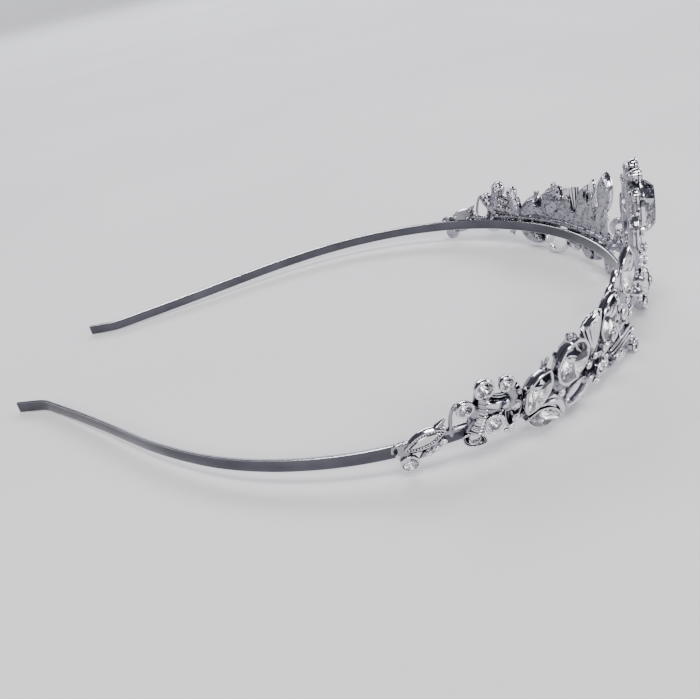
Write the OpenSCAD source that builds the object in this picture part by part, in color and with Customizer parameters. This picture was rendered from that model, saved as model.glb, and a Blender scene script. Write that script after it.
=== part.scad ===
// Crystal tiara: a sprung steel head band with cast, plated sprays of leaves,
// cups and cut crystals soldered round its front.
// Millimetres, +Z up. The front faces -Y and the two arms run back to +Y.
// It lies as it rests by itself: on the two tips and the lowest ornaments.

/* [Head band] */
// Radius of the front arc, to the middle of the strip
band_radius = 64; // [62:0.5:68]
// Width of the steel strip
strip_width = 3; // [2.6:0.1:3.6]
// Thickness of the steel strip
strip_thick = 0.8; // [0.7:0.05:1]
// Radius of the second arc, behind the ears
ear_radius = 75; // [70:1:80]
// Radius of the third arc
tail_radius = 131; // [120:1:140]
// Radius of the reverse curve before the tips
reverse_radius = 600; // [550:10:700]
// Outward bend of each tip, in degrees
tip_bend = 27; // [20:1:32]
// Length of each straight tip
tip_length = 6.2; // [5:0.2:8]

/* [Ornament] */
// Outward lean of the side sprays, in degrees
lean = 11.5; // [8:0.5:14]
// Outward lean of the centre piece, in degrees
centre_lean = 3; // [0:0.5:6]
// Distance from the strip's middle line to the backs of the castings
back_gap = 0.75; // [0.7:0.05:1]
// Wall of each cup round its stone
cup_wall = 0.4; // [0.35:0.05:0.5]
// Clearance between stones, castings and strip
clearance = 0.06; // [0.05:0.01:0.1]

/* [Stones] */
// Length of the big centre crystal
crystal_length = 13.6; // [13:0.2:15]
// Width of the big centre crystal
crystal_width = 10; // [9:0.2:11]
// Height of a stone's crown for each mm of its width
crown_ratio = 0.2; // [0.15:0.01:0.24]
// Width of a stone's table as a share of its width
table_ratio = 0.58; // [0.5:0.02:0.66]

/* [Hidden] */
// Tilt of the band's plane as it rests on its tips and lowest drops, the height
// of the strip's top edge at the front, and the shift that centres the whole
REST_PITCH = 2.086;
REST_LIFT = 8.825;
REST_SHIFT = -76.15;

// The sprays reach their full lean at this distance from the front
LEAN_REACH = 50;
// The centre piece stands this much further out, to leave room for its solder
CENTRE_OUT = 0.35;

ROUND = 0;
NAVETTE = 1;
OVAL = 2;

// Stones that are nodes of their own, for the wearer's right side.
// s is the distance along the band from its front, t the height on the leaning
// back plane above the strip's top edge, foot and d the heights of the cup's
// back and of the stone's girdle above that plane.
// name, cut, s, t, foot, d, length, width, turn
SIDE_STONES = [
    ["end", ROUND, 84.2, -4, 0.1, 1.7, 3.5, 3.5, 0],
    ["bud_low", ROUND, 72.2, 5.9, 0, 2.1, 3, 3, 0],
    ["bud_high", ROUND, 68.1, 9, 0, 2.1, 3.7, 3.7, 0],
    ["bud_inner", ROUND, 63.4, 8, 0, 1.9, 2.8, 2.8, 0],
    ["roped", ROUND, 67, -0.1, 0, 2.5, 3.4, 3.4, 0],
    ["bell", ROUND, 71, -2.3, 0.2, 2, 2, 2, 0],
    ["leaf_upper", NAVETTE, 57.3, 3.2, 0, 3, 9.6, 5.2, 55],
    ["leaf_lower", NAVETTE, 56, -4.3, 0, 2.8, 9, 4.2, -19],
    ["cushion", OVAL, 48.9, 6, 0, 3.1, 9.4, 8, 55],
    ["blade_outer", NAVETTE, 35.7, 8.5, 0, 2.2, 10, 4.8, 71],
    ["blade_inner", NAVETTE, 25, 13.2, 0, 1.9, 10.8, 5, 88],
    ["blossom", ROUND, 38.8, -2, 0.2, 2.8, 2.4, 2.4, 0],
    ["drop", ROUND, 21.2, -6.8, 0.2, 3.2, 2.4, 2.4, 0]
];

// Stones of the centre piece. x is measured across from the middle.
// name, cut, x, t, foot, d, length, width, turn
CENTRE_STONES = [
    ["crystal", OVAL, 0, 17.5, 1.6, 4.2, crystal_length, crystal_width, 90],
    ["crown", ROUND, 0, 27.4, 0, 2.4, 2.8, 2.8, 0],
    ["halo_right", ROUND, -3.7, 26.4, 0, 3, 2.6, 2.6, 0],
    ["halo_left", ROUND, 3.7, 26.4, 0, 3, 2.6, 2.6, 0],
    ["shoulder_right", ROUND, -7, 22.8, 0, 2.4, 2.8, 2.8, 0],
    ["shoulder_left", ROUND, 7, 22.8, 0, 2.4, 2.8, 2.8, 0],
    ["flank_right", NAVETTE, -8.8, 14.6, 0, 2.2, 8, 3.6, 98],
    ["flank_left", NAVETTE, 8.8, 14.6, 0, 2.2, 8, 3.6, 82],
    ["flower", ROUND, 0, -1.4, 0.6, 4.6, 2.8, 2.8, 0],
    ["pendant", ROUND, 0, -6.95, 0.6, 3.4, 2.8, 2.8, 0]
];

// Small flat-backed round stones, each field one node. s (or x), t, d, width
SIDE_ACCENTS = [
    [61.7, 1.8, 1.8, 2],
    [61.9, -1.6, 1.8, 1.6],
    [50.6, -1.7, 2, 1.7],
    [36.4, 1.7, 2.3, 2],
    [32.6, 2.2, 2.2, 2.2],
    [30.2, -4.6, 2.4, 1.8],
    [27.8, -5.4, 2.4, 1.6],
    [27, 4.4, 2.2, 2.4],
    [22.2, -2.4, 2.7, 1.4],
    [21.8, -4.4, 2.4, 1.4]
];
CENTRE_ACCENTS = [
    [0, 7.2, 4, 2],
    [-3.3, 5.4, 3.8, 1.8],
    [3.3, 5.4, 3.8, 1.8],
    [-6.2, 3.8, 3.2, 1.8],
    [6.2, 3.8, 3.2, 1.8],
    [-14.6, 1.8, 2.6, 1.8],
    [14.6, 1.8, 2.6, 1.8],
    [-4.6, -5.4, 3, 1.6],
    [4.6, -5.4, 3, 1.6]
];

// Round bars and stems of a side spray, thick at one end or both.
// s, t, d and radius at one end, then at the other
SIDE_BARS = [
    [85.8, 0.6, 0.6, 0.8, 85.5, -2.8, 0.6, 1],
    [84.8, -0.6, 0.7, 1, 84.2, -3, 0.7, 1],
    [77.6, 2.6, 0.6, 0.9, 75.9, 4.2, 0.6, 0.3],
    [85.2, 0.7, 0.5, 0.7, 82.4, 0.6, 0.6, 1],
    [78.6, 0.6, 0.7, 0.8, 78.8, -2.4, 0.6, 0.8],
    [77, 1, 0.5, 1, 71.6, 0.6, 0.5, 1.2],
    [72.2, 5.9, 0.9, 1.5, 69.6, 3, 0.9, 1.7],
    [69, 5, 1, 1.4, 70.8, -1, 1.1, 2.2],
    [68.1, 9, 0.9, 1.7, 68.6, 4, 0.9, 1.9],
    [66.8, 5.4, 0.9, 1, 63, 4, 0.9, 1.1],
    [63.4, 8, 0.8, 1.4, 62, 4, 0.9, 1.8],
    [62.8, 5.7, 0.6, 0.4, 60.4, 5.8, 0.6, 0.3],
    [60.2, -1.9, 1.4, 0.9, 56.4, -1.4, 1.6, 1.1],
    [56.4, -1.4, 1.6, 1.1, 52, -3.2, 1.6, 1.1],
    [52, -3.2, 1.6, 1.1, 50.1, -6.6, 1.2, 1],
    [55.2, 3.4, 1.3, 0.7, 55, 9.4, 1.4, 0.4],
    [54.7, 6.8, 1.3, 0.4, 53.3, 9.3, 1.3, 0.3],
    [48.4, 9.6, 1.6, 0.9, 48.4, 12.2, 1.6, 0.8],
    [51.6, -0.3, 1.1, 0.9, 44.9, 0.2, 1, 0.9],
    [30.4, -4.4, 1, 1.1, 33.6, 0.6, 0.8, 1.1],
    [27.8, -5.2, 1, 1, 28.6, 0.6, 0.8, 0.9],
    [18, 0.9, 0.8, 1.1, 17.2, 4.6, 1.8, 0.9],
    [22.8, 0.8, 0.9, 1.1, 21.2, -6.8, 1.1, 1.3],
    [27, 4.4, 0.8, 1.2, 25.6, 9.4, 0.9, 1.3],
    [30, 11.4, 0.7, 0.9, 31, 4.4, 0.7, 1.1]
];

// Cast webs that back the stems and leaves: radius of the edge, then the corners
// s, t, d
SIDE_WEBS = [
    [0.9, [[71.6, 1, 0.7], [71.2, 4, 0.7], [67, 4, 0.7], [67, 1, 0.7]]],
    [0.9, [[65.4, 1, 0.7], [64.6, 4.2, 0.7], [59, 3.4, 0.7], [58, 1, 0.7]]],
    [0.9, [[54, 1, 0.7], [51, 4, 0.9], [45, 4, 0.9], [44, 1, 0.7]]],
    [0.9, [[40.4, 1, 0.7], [39.6, 5, 0.8], [34, 5, 0.8], [33, 1, 0.7]]],
    [0.9, [[33.6, 0.9, 0.6], [34.6, 4.8, 0.7], [27, 4.6, 0.8], [26, 1, 0.7]]]
];

// The rimmed leaf at the outer end and the open loop under the cushion stone.
// s, t and turn, then length, width and thickness, and for the loop its wall
END_LEAF = [80.4, 0.9, 18];
END_LEAF_SIZE = [9.6, 4.4, 1.7];
LOOP = [45, -4.9, 18];
LOOP_SIZE = [8.6, 5.8, 1.5];
LOOP_WALL = 1.1;

// Petals round the blossom of a spray and round the flower of the centre piece.
// s (or x), t and d, then the radius of their middles, length, width and thickness
BLOSSOM = [38.8, -2, 0.3];
BLOSSOM_PETALS = [2.8, 3.4, 2.4, 1.6];
FLOWER = [0, -1.4, 1.4];
FLOWER_PETALS = [3, 3.6, 2.6, 2.4];
PETAL_COUNT = 5;
PETAL_RISE = 7.5;
PETAL_FOOT = 0.8;

// Plain cast leaves of a side spray, pointed at both ends. s, t, length, width, thickness, turn
SIDE_LEAVES = [
    [79.1, -2.4, 7, 2.2, 1.1, 26],
    [62, 0.2, 11.6, 3.6, 1.4, 76],
    [29.6, 13.4, 8.4, 2.8, 1.6, 82],
    [31.8, 11.8, 8, 2.4, 1.4, 70],
    [32.2, -5, 6.4, 3, 1.6, -30]
];

// The fluted fan between the cushion and the outer blade: tips of its ribs, s and t
FAN_FOOT = [40, 3.6];
FAN_TIPS = [[44.8, 10.8], [43.5, 12], [42, 12.6], [40.5, 12.3], [39.1, 11.2]];
FAN_D = 0.8;
FAN_RADIUS = [0.9, 1.35];

// The open ring at the inner end of a spray, turned to face along the band
RING_PLACE = [17.2, 6.4, 2.4];
RING_TURN = -70;
RING_SIZE = 4.4;
RING_WALL = 1.1;
RING_THICK = 1.3;

// The rail of the casting just above the strip: s of its joints, its t and d
RAIL_STOPS = [17, 30, 44, 58, 71];
RAIL_T = 0.9;
RAIL_D = 0.6;
RAIL_RADIUS = 0.9;

// Bars of the centre piece, as in SIDE_BARS with x in place of s: those that lie
// across its middle, then those of its right half
CENTRE_SPINE = [
    [0, -7, 1.4, 1.3, 0, 9, 1.4, 1.5],
    [0, 10, 1.2, 1.3, 0, 27.4, 1, 1.5],
    [-5, -1.6, 0.3, 1, 5, -1.6, 0.3, 1]
];
CENTRE_BARS = [
    [-3.7, 26.4, 1, 1.2, 0, 24, 1, 1.2],
    [-7, 22.8, 0.9, 1.2, 0, 19, 1, 1.1],
    [-7, 22.8, 1.1, 0.9, -8.6, 17, 1.1, 0.9],
    [-8.8, 14.8, 0.9, 1.1, 0, 14.6, 1, 1.1],
    [0, 6.6, 1.4, 1.5, -6.4, 3.8, 1.2, 1.5],
    [-6.4, 3.8, 1.2, 1.5, -15.2, 1.4, 0.9, 1.3],
    [-8.8, 11.4, 0.9, 0.9, -7, 3.6, 1, 1.1],
    [0, -4.6, 1.4, 1.1, -4.6, -5.4, 1.2, 1.1],
    [-4.6, -5.4, 1.2, 1, -8.6, 0.8, 0.9, 0.9]
];

SIDES = ["right", "left"];

// Outlines of the stones and cups, centred, with n points

function ellipse_points(l, w, n) =
    [for (i = [0:n - 1]) [l / 2 * cos(360 * i / n), w / 2 * sin(360 * i / n)]];

// Two arcs that meet in a point at each end
function navette_points(l, w, n) =
    let (a = l / 2, b = w / 2, r = (a * a + b * b) / (2 * b), half = asin(a / r), m = n / 2)
    concat(
        [for (i = [0:m - 1]) let (q = half - 2 * half * i / m) [r * sin(q), r * cos(q) - r + b]],
        [for (i = [0:m - 1]) let (q = -half + 2 * half * i / m) [r * sin(q), r - b - r * cos(q)]]);

function outline(cut, l, w, n) = cut == NAVETTE ? navette_points(l, w, n) : ellipse_points(l, w, n);

function ring_at(points, z) = [for (p = points) [p[0], p[1], z]];

// A closed solid through a stack of rings that all have the same count
module loft(rings) {
    n = len(rings[0]);
    last = len(rings) - 1;
    polyhedron(
        points = [for (ring = rings) each ring],
        faces = concat(
            [[for (i = [0:n - 1]) i]],
            [for (k = [0:last - 1]) for (i = [0:n - 1])
                [k * n + i, (k + 1) * n + i, (k + 1) * n + (i + 1) % n, k * n + (i + 1) % n]],
            [[for (i = [n - 1:-1:0]) last * n + i]]),
        convexity = 4);
}

function sides_of(cut) = cut == ROUND ? 8 : cut == NAVETTE ? 10 : 12;

// A closed solid from a point at the depth below, up through a stack of rings
module pointed(rings, depth) {
    n = len(rings[0]);
    last = len(rings) - 1;
    polyhedron(
        points = concat([[0, 0, -depth]], [for (ring = rings) each ring]),
        faces = concat(
            [for (i = [0:n - 1]) [0, 1 + i, 1 + (i + 1) % n]],
            [for (k = [0:last - 1]) for (i = [0:n - 1])
                [1 + k * n + i, 1 + (k + 1) * n + i, 1 + (k + 1) * n + (i + 1) % n, 1 + k * n + (i + 1) % n]],
            [[for (i = [n - 1:-1:0]) 1 + last * n + i]]),
        convexity = 2);
}

// Thickness of a stone's girdle and depth of its pavilion, for each mm of its width
GIRDLE = 0.05;
PAVILION = 0.42;
// Metal left between a pavilion and the back of its cup
CUP_FLOOR = 0.5;
// Width of a cup's foot as a share of its stone's width
CUP_FOOT = 0.6;
// Height of a small flat-backed stone for each mm of its width
SMALL_HEIGHT = 0.36;

// A cut stone: table, crown, thin girdle and a pavilion that runs to a point
module cut_stone(cut, l, w, depth) {
    n = sides_of(cut);
    inset = w * (1 - table_ratio);
    pointed([
        ring_at(outline(cut, l, w, n), -w * GIRDLE),
        ring_at(outline(cut, l, w, n), 0),
        ring_at(outline(cut, l - inset, w - inset, n), w * crown_ratio)], depth);
}

// How deep a stone's pavilion may go in a cup from foot up to its girdle at d
function pavilion(w, foot, d) = min(w * PAVILION, d - foot - CUP_FLOOR);

// The cup under a stone, from its small back up to a rim round the girdle
module cup(cut, l, w, foot, d) {
    n = sides_of(cut);
    grow = 2 * (cup_wall + clearance);
    back = [ring_at(outline(cut, l * CUP_FOOT, w * CUP_FOOT, n), foot)];
    belly = [ring_at(outline(cut, l + grow * 0.6, w + grow * 0.6, n), foot + (d - foot) * 0.5)];
    rim = [ring_at(outline(cut, l + grow, w + grow, n), d + w * 0.03)];
    loft(cut == ROUND ? concat(back, rim) : concat(back, belly, rim));
}

// The room a stone takes in its cup, with the way in from the front left open
module pocket(cut, l, w, foot, d) {
    n = sides_of(cut);
    grow = 2 * clearance;
    deep = pavilion(w, foot, d) + clearance;
    edge = outline(cut, l + grow, w + grow, n);
    translate([0, 0, d])
        pointed([ring_at(edge, -w * GIRDLE - clearance), ring_at(edge, w * 0.3)], deep);
}

// A small flat-backed stone on its pad: a table with eight facets round it
module small_stone(w, n = 8) {
    loft([
        ring_at(ellipse_points(w, w, n), 0),
        ring_at(ellipse_points(w * table_ratio, w * table_ratio, n), w * SMALL_HEIGHT)]);
}

// The cast pad under a small stone, with a lip that shows round it
module pad(w, d, n = 6) {
    loft([
        ring_at(ellipse_points(w * 0.9, w * 0.9, n), 0.2),
        ring_at(ellipse_points(w + 0.5, w + 0.5, n), d - clearance)]);
}

// Seats: the frame of the back plane, X towards the middle, Y up, Z outwards

// The castings lean further out towards the ends of the sprays
function lean_at(s) = centre_lean + (lean - centre_lean) * min(1, s / LEAN_REACH);

module side_seat(s, t, d = 0, turn = 0) {
    translate([0, band_radius, 0])
        rotate([0, 0, -s / band_radius * 180 / PI])
            translate([0, -band_radius - back_gap, 0])
                rotate([90 + lean_at(s), 0, 0])
                    translate([0, t, d])
                        rotate([0, 0, turn])
                            children();
}

module centre_seat(x, t, d = 0, turn = 0) {
    translate([0, band_radius, 0])
        rotate([0, 0, x / band_radius * 180 / PI])
            translate([0, -band_radius - back_gap - CENTRE_OUT, 0])
                rotate([90 + centre_lean, 0, 0])
                    translate([0, t, d])
                        rotate([0, 0, turn])
                            children();
}

// The attitude in which the whole tiara rests
module at_rest() {
    translate([0, REST_SHIFT, REST_LIFT])
        rotate([-REST_PITCH, 0, 0])
            children();
}

module on_side(side) {
    mirror([side == "left" ? 1 : 0, 0, 0])
        children();
}

// The eight-faced end of a bar
module knob(r) {
    polyhedron(
        points = [[r, 0, 0], [0, r, 0], [-r, 0, 0], [0, -r, 0], [0, 0, r], [0, 0, -r]],
        faces = [for (i = [0:3]) each [[4, (i + 1) % 4, i], [5, i, (i + 1) % 4]]]);
}

module side_bar(b) {
    hull() {
        side_seat(b[0], b[1], b[2]) knob(b[3]);
        side_seat(b[4], b[5], b[6]) knob(b[7]);
    }
}

module side_web(w) {
    hull()
        for (c = w[1]) side_seat(c[0], c[1], c[2]) knob(w[0]);
}

module centre_bar(b) {
    hull() {
        centre_seat(b[0], b[1], b[2]) knob(b[3]);
        centre_seat(b[4], b[5], b[6]) knob(b[7]);
    }
}

// An open ring of the casting, flat at its back
module open_loop(l, w, wall, thick, n = 12) {
    difference() {
        loft([
            ring_at(ellipse_points(l, w, n), 0),
            ring_at(ellipse_points(l - wall * 0.6, w - wall * 0.6, n), thick)]);
        loft([
            ring_at(ellipse_points(l - 2 * wall, w - 2 * wall, n), -1),
            ring_at(ellipse_points(l - 2 * wall, w - 2 * wall, n), thick + 1)]);
    }
}

module plain_leaf(l, w, thick, n = 10) {
    loft([
        ring_at(navette_points(l * 0.9, w * 0.8, n), 0),
        ring_at(navette_points(l, w, n), thick * 0.5),
        ring_at(navette_points(l * 0.5, w * 0.15, n), thick)]);
}

// A leaf with a raised rim round a domed middle
module rimmed_leaf(l, w, thick, n = 12) {
    difference() {
        loft([
            ring_at(navette_points(l, w, n), 0),
            ring_at(navette_points(l - 0.6, w - 0.5, n), thick)]);
        translate([0, 0, thick - 0.5])
            loft([
                ring_at(navette_points(l * 0.72, w * 0.66, n), 0),
                ring_at(navette_points(l * 0.72, w * 0.66, n), 2)]);
    }
    loft([
        ring_at(navette_points(l * 0.64, w * 0.5, n), thick - 0.6),
        ring_at(navette_points(l * 0.42, w * 0.2, n), thick - 0.05)]);
}

// The bell flower: a flared cup, drawn out to a point on its outer side
BELL = [71, -2.3];
BELL_RIM = 2.5;

function bell_points(r, n) =
    [for (i = [0:n - 1]) let (q = 360 * i / n, k = 1 + 0.28 * pow(max(0, cos(q - 170)), 6))
        [r * k * cos(q), r * k * sin(q)]];

module bell_outside(n = 12) {
    loft([
        ring_at(bell_points(0.9, n), 0.1),
        ring_at(bell_points(1.6, n), 1.2),
        ring_at(bell_points(2.35, n), BELL_RIM)]);
}

module bell_inside(n = 12) {
    loft([
        ring_at(ellipse_points(2.1, 2.1, n), 1.4),
        ring_at(bell_points(2.05, n), BELL_RIM),
        ring_at(bell_points(2.05, n), BELL_RIM + 1)]);
}

// The strip's room, kept free of cast metal
ROOM_SIDES = 48;
module strip_room() {
    translate([0, band_radius, -strip_width - clearance])
        cylinder(r = (band_radius + strip_thick / 2 + clearance) / cos(180 / ROOM_SIDES),
                 h = strip_width + 2 * clearance, $fn = ROOM_SIDES);
}

// A ring of petals that rise towards their tips, one of them at the bottom
module petals(size, n = 8) {
    l = size[1];
    w = size[2];
    for (i = [0:PETAL_COUNT - 1])
        rotate([0, 0, 360 * i / PETAL_COUNT - 90])
            translate([size[0], 0, 0])
                rotate([0, -PETAL_RISE, 0])
                    loft([
                        ring_at(ellipse_points(l * PETAL_FOOT, w * PETAL_FOOT, n), 0),
                        ring_at(ellipse_points(l, w, n), size[3])]);
}

module side_cups() {
    for (r = SIDE_STONES) side_seat(r[2], r[3], 0, r[8]) cup(r[1], r[6], r[7], r[4], r[5]);
    for (a = SIDE_ACCENTS) side_seat(a[0], a[1]) pad(a[3], a[2]);
}

module side_leaves() {
    side_seat(END_LEAF[0], END_LEAF[1], 0, END_LEAF[2])
        rimmed_leaf(END_LEAF_SIZE[0], END_LEAF_SIZE[1], END_LEAF_SIZE[2]);
    for (f = SIDE_LEAVES) side_seat(f[0], f[1], 0, f[5]) plain_leaf(f[2], f[3], f[4]);
    side_seat(LOOP[0], LOOP[1], 0, LOOP[2])
        open_loop(LOOP_SIZE[0], LOOP_SIZE[1], LOOP_WALL, LOOP_SIZE[2]);
    side_seat(BLOSSOM[0], BLOSSOM[1], BLOSSOM[2]) petals(BLOSSOM_PETALS);
    side_seat(BELL[0], BELL[1]) bell_outside();
    side_seat(RING_PLACE[0], RING_PLACE[1], RING_PLACE[2])
        rotate([0, RING_TURN, 0])
            translate([0, 0, -RING_THICK / 2])
                open_loop(RING_SIZE, RING_SIZE, RING_WALL, RING_THICK, 10);
}

module side_frame() {
    for (b = SIDE_BARS) side_bar(b);
    for (w = SIDE_WEBS) side_web(w);
    for (tip = FAN_TIPS)
        side_bar([FAN_FOOT[0], FAN_FOOT[1], FAN_D, FAN_RADIUS[0], tip[0], tip[1], FAN_D, FAN_RADIUS[1]]);
    for (i = [0:len(RAIL_STOPS) - 2])
        side_bar([
            RAIL_STOPS[i], RAIL_T, RAIL_D, RAIL_RADIUS,
            RAIL_STOPS[i + 1], RAIL_T, RAIL_D, RAIL_RADIUS]);
}

module side_room() {
    for (r = SIDE_STONES) side_seat(r[2], r[3], 0, r[8]) pocket(r[1], r[6], r[7], r[4], r[5]);
    side_seat(BELL[0], BELL[1]) bell_inside();
}

module spray(side) {
    color("gainsboro")
        at_rest()
            on_side(side)
                difference() {
                    union() {
                        side_cups();
                        side_leaves();
                        side_frame();
                    }
                    side_room();
                    strip_room();
                }
}

module centre_setting() {
    color("gainsboro")
        at_rest()
            difference() {
                union() {
                    for (r = CENTRE_STONES)
                        centre_seat(r[2], r[3], 0, r[8]) cup(r[1], r[6], r[7], r[4], r[5]);
                    for (a = CENTRE_ACCENTS) centre_seat(a[0], a[1]) pad(a[3], a[2]);
                    for (b = concat(CENTRE_SPINE, CENTRE_BARS)) centre_bar(b);
                    mirror([1, 0, 0])
                        for (b = CENTRE_BARS) centre_bar(b);
                    centre_seat(FLOWER[0], FLOWER[1], FLOWER[2]) petals(FLOWER_PETALS);
                }
                for (r = CENTRE_STONES)
                    centre_seat(r[2], r[3], 0, r[8]) pocket(r[1], r[6], r[7], r[4], r[5]);
                strip_room();
            }
}

module side_stone(r, side) {
    color("aliceblue")
        at_rest()
            on_side(side)
                side_seat(r[2], r[3], r[5], r[8])
                    cut_stone(r[1], r[6], r[7], pavilion(r[7], r[4], r[5]));
}

module centre_stone(r) {
    color("aliceblue")
        at_rest()
            centre_seat(r[2], r[3], r[5], r[8])
                cut_stone(r[1], r[6], r[7], pavilion(r[7], r[4], r[5]));
}

module side_accents(side) {
    color("lavender")
        at_rest()
            on_side(side)
                for (a = SIDE_ACCENTS) side_seat(a[0], a[1], a[2]) small_stone(a[3]);
}

module centre_accents() {
    color("lavender")
        at_rest()
            for (a = CENTRE_ACCENTS) centre_seat(a[0], a[1], a[2]) small_stone(a[3]);
}

// Head band: the middle line of one arm, walked from the front to the tip.
// Each stretch is an arc: its radius (a minus bends outwards) and its angle.

TIP_RADIUS = 10;
STRETCHES = [
    [band_radius, 90],
    [ear_radius, 23.7],
    [tail_radius, 10.5],
    [-reverse_radius, 3.87],
    [-TIP_RADIUS, tip_bend]
];
ARC_STEP = 3;

// The middle line from stretch k on, as [x, y, heading], from a point and heading
function walk(k, x, y, heading) =
    k == len(STRETCHES)
        ? [[x, y, heading], [x + tip_length * cos(heading), y + tip_length * sin(heading), heading]]
        : let (
            r = STRETCHES[k][0],
            turn = sign(r) * STRETCHES[k][1],
            steps = ceil(abs(turn) / ARC_STEP),
            cx = x - r * sin(heading),
            cy = y + r * cos(heading),
            last = heading + turn)
          concat(
              [for (i = [0:steps - 1]) let (h = heading + turn * i / steps)
                  [cx + r * sin(h), cy - r * cos(h), h]],
              walk(k + 1, cx + r * sin(last), cy - r * cos(last), last));

function beside(p, off) = [p[0] - off * sin(p[2]), p[1] + off * cos(p[2])];

module headband() {
    half = walk(0, 0, 0, 0);
    last = len(half) - 1;
    inner = [for (p = half) beside(p, strip_thick / 2)];
    outer = [for (p = half) beside(p, -strip_thick / 2)];
    right_outer = [for (i = [last:-1:0]) [-outer[i][0], outer[i][1]]];
    right_inner = [for (i = [1:last]) [-inner[i][0], inner[i][1]]];
    left_inner = [for (i = [last:-1:0]) inner[i]];
    left_outer = [for (i = [1:last]) outer[i]];
    color("silver")
        at_rest()
            translate([0, 0, -strip_width])
                linear_extrude(strip_width)
                    polygon(concat(right_outer, left_outer, left_inner, right_inner));
}

headband();
spray("right");  // spray_right
spray("left");  // spray_left
centre_setting();
side_accents("right");  // accents_right
side_accents("left");  // accents_left
centre_accents();  // accents_centre
for (side = SIDES)
    for (row = SIDE_STONES)
        side_stone(row, side);
for (row = CENTRE_STONES)
    centre_stone(row);
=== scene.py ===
# %% [markdown]
# # A crystal tiara
# A sprung steel strip carries two cast side sprays and a cast centre piece, all silver
# plated, with foil-backed cut crystals in their cups. The plain solids come from the CAD
# model. This lesson dresses them: it casts, polishes and sets them in the order that a
# jeweller's workshop would.

# %% Load the fixed frame
import math
import random

import bpy
import numpy as np
from mathutils import Matrix, Vector
from mathutils.bvhtree import BVHTree


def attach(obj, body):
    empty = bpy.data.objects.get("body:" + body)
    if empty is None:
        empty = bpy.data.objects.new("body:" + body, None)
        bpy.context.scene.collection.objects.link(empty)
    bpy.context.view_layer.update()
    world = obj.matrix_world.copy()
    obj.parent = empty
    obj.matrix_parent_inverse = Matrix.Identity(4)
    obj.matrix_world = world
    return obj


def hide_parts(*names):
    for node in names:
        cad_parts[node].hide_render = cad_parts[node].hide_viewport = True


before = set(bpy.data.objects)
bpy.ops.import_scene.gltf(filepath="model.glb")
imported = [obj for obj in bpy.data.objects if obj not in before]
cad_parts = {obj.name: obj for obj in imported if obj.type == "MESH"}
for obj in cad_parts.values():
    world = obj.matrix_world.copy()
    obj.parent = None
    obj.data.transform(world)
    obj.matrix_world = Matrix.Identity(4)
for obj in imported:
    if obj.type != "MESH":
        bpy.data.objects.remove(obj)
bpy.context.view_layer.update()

print("solids in the frame:", len(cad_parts))

# %% [markdown]
# ## The camera
# The photograph looks down from the wearer's right, a little in front of the arms. The
# object stands on a pale floor, so the eye is well above it. The place and the lens were
# found by fitting a camera to the two edges of the strip, and are kept here as numbers.

# %% Place the camera
EYE = Vector((-0.20083, -0.06146, 0.10042))
LOOK = Vector((0.8614, 0.2461, -0.4445))
UPRIGHT = Vector((0.4788, -0.1008, 0.8722))
FOCAL_LENGTH = 44.306

look = LOOK.normalized()
across = look.cross(UPRIGHT).normalized()
camera = bpy.data.objects.new("camera", bpy.data.cameras.new("camera"))
camera.data.lens = FOCAL_LENGTH
camera.data.clip_start = 0.01
camera.matrix_world = Matrix((across, across.cross(look), -look)).transposed().to_4x4()
camera.matrix_world.translation = EYE
bpy.context.scene.collection.objects.link(camera)
bpy.context.scene.camera = camera
print("camera height in mm:", round(EYE.z * 1000))

# %% [markdown]
# ## Light
# Polished metal shows its surroundings, so soft lights alone would leave it flat. A dim
# cool room gives the dark lines, and large soft boxes give the bright ones. They are area
# lights, because the edges of such a lamp show in the metal, as a studio's boxes do.

# %% Light the room
ROOM_COLOUR = (0.16, 0.16, 0.20, 1)
ROOM_STRENGTH = 0.45

world = bpy.data.worlds.new("room")
world.use_nodes = True
background = world.node_tree.nodes["Background"]
background.inputs["Color"].default_value = ROOM_COLOUR
background.inputs["Strength"].default_value = ROOM_STRENGTH
bpy.context.scene.world = world

# name, place and size in metres, power in watts, colour
SOFT_BOXES = [
    ("overhead", (-0.45, -0.15, 2.10), (1.02, 0.78), 40, (1.0, 0.99, 0.98)),
    ("front", (-1.80, -1.50, 1.26), (0.78, 0.78), 36, (1.0, 0.98, 0.96)),
    ("behind_camera", (-1.86, 0.48, 1.20), (1.02, 0.66), 22, (1.0, 0.99, 0.98)),
    ("across", (1.86, 0.54, 1.20), (1.86, 0.60), 32, (0.93, 0.95, 1.0)),
    ("far_side", (1.50, -1.44, 1.32), (0.78, 0.78), 22, (0.95, 0.96, 1.0)),
    ("low_front", (0.06, -2.25, 0.66), (1.50, 0.48), 18, (1.0, 1.0, 1.0)),
    ("backdrop", (2.00, 1.20, 2.40), (1.40, 1.40), 60, (0.97, 0.98, 1.0)),
]
# every box faces the tiara, except the last, which lights the floor's rim behind it
RIM_BEHIND = Vector((3.4, 2.04, 0.1))
for name, place, size, power, colour in SOFT_BOXES:
    lamp = bpy.data.lights.new(name, "AREA")
    lamp.shape = "RECTANGLE"
    lamp.size, lamp.size_y = size
    lamp.energy = power
    lamp.color = colour
    box = bpy.data.objects.new(name, lamp)
    box.location = place
    aim = RIM_BEHIND if name == "backdrop" else Vector()
    box.rotation_euler = (aim - Vector(place)).to_track_quat("-Z", "Y").to_euler()
    bpy.context.scene.collection.objects.link(box)
print("soft boxes:", len(SOFT_BOXES))

# %% [markdown]
# ## The jeweller's measures
# Every ornament sits on a sheet that leans outwards and wraps round the band. A place on
# it is given as on a rolled-out drawing: along the band from its front, up the sheet from
# the strip's top edge, and out from the sheet's back. All measures are in millimetres.

# %% Find places on the leaning sheet
BAND_RADIUS = 64.0
# from the middle of the strip to the back of a spray, and to the back of the centre piece
BACK_GAP = 0.75
CENTRE_GAP = BACK_GAP + 0.35
# how far the sheet leans outwards, in degrees: little at the front, fully from here on
CENTRE_LEAN = 3.0
LEAN = 11.5
FULL_LEAN_AT = 50
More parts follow.
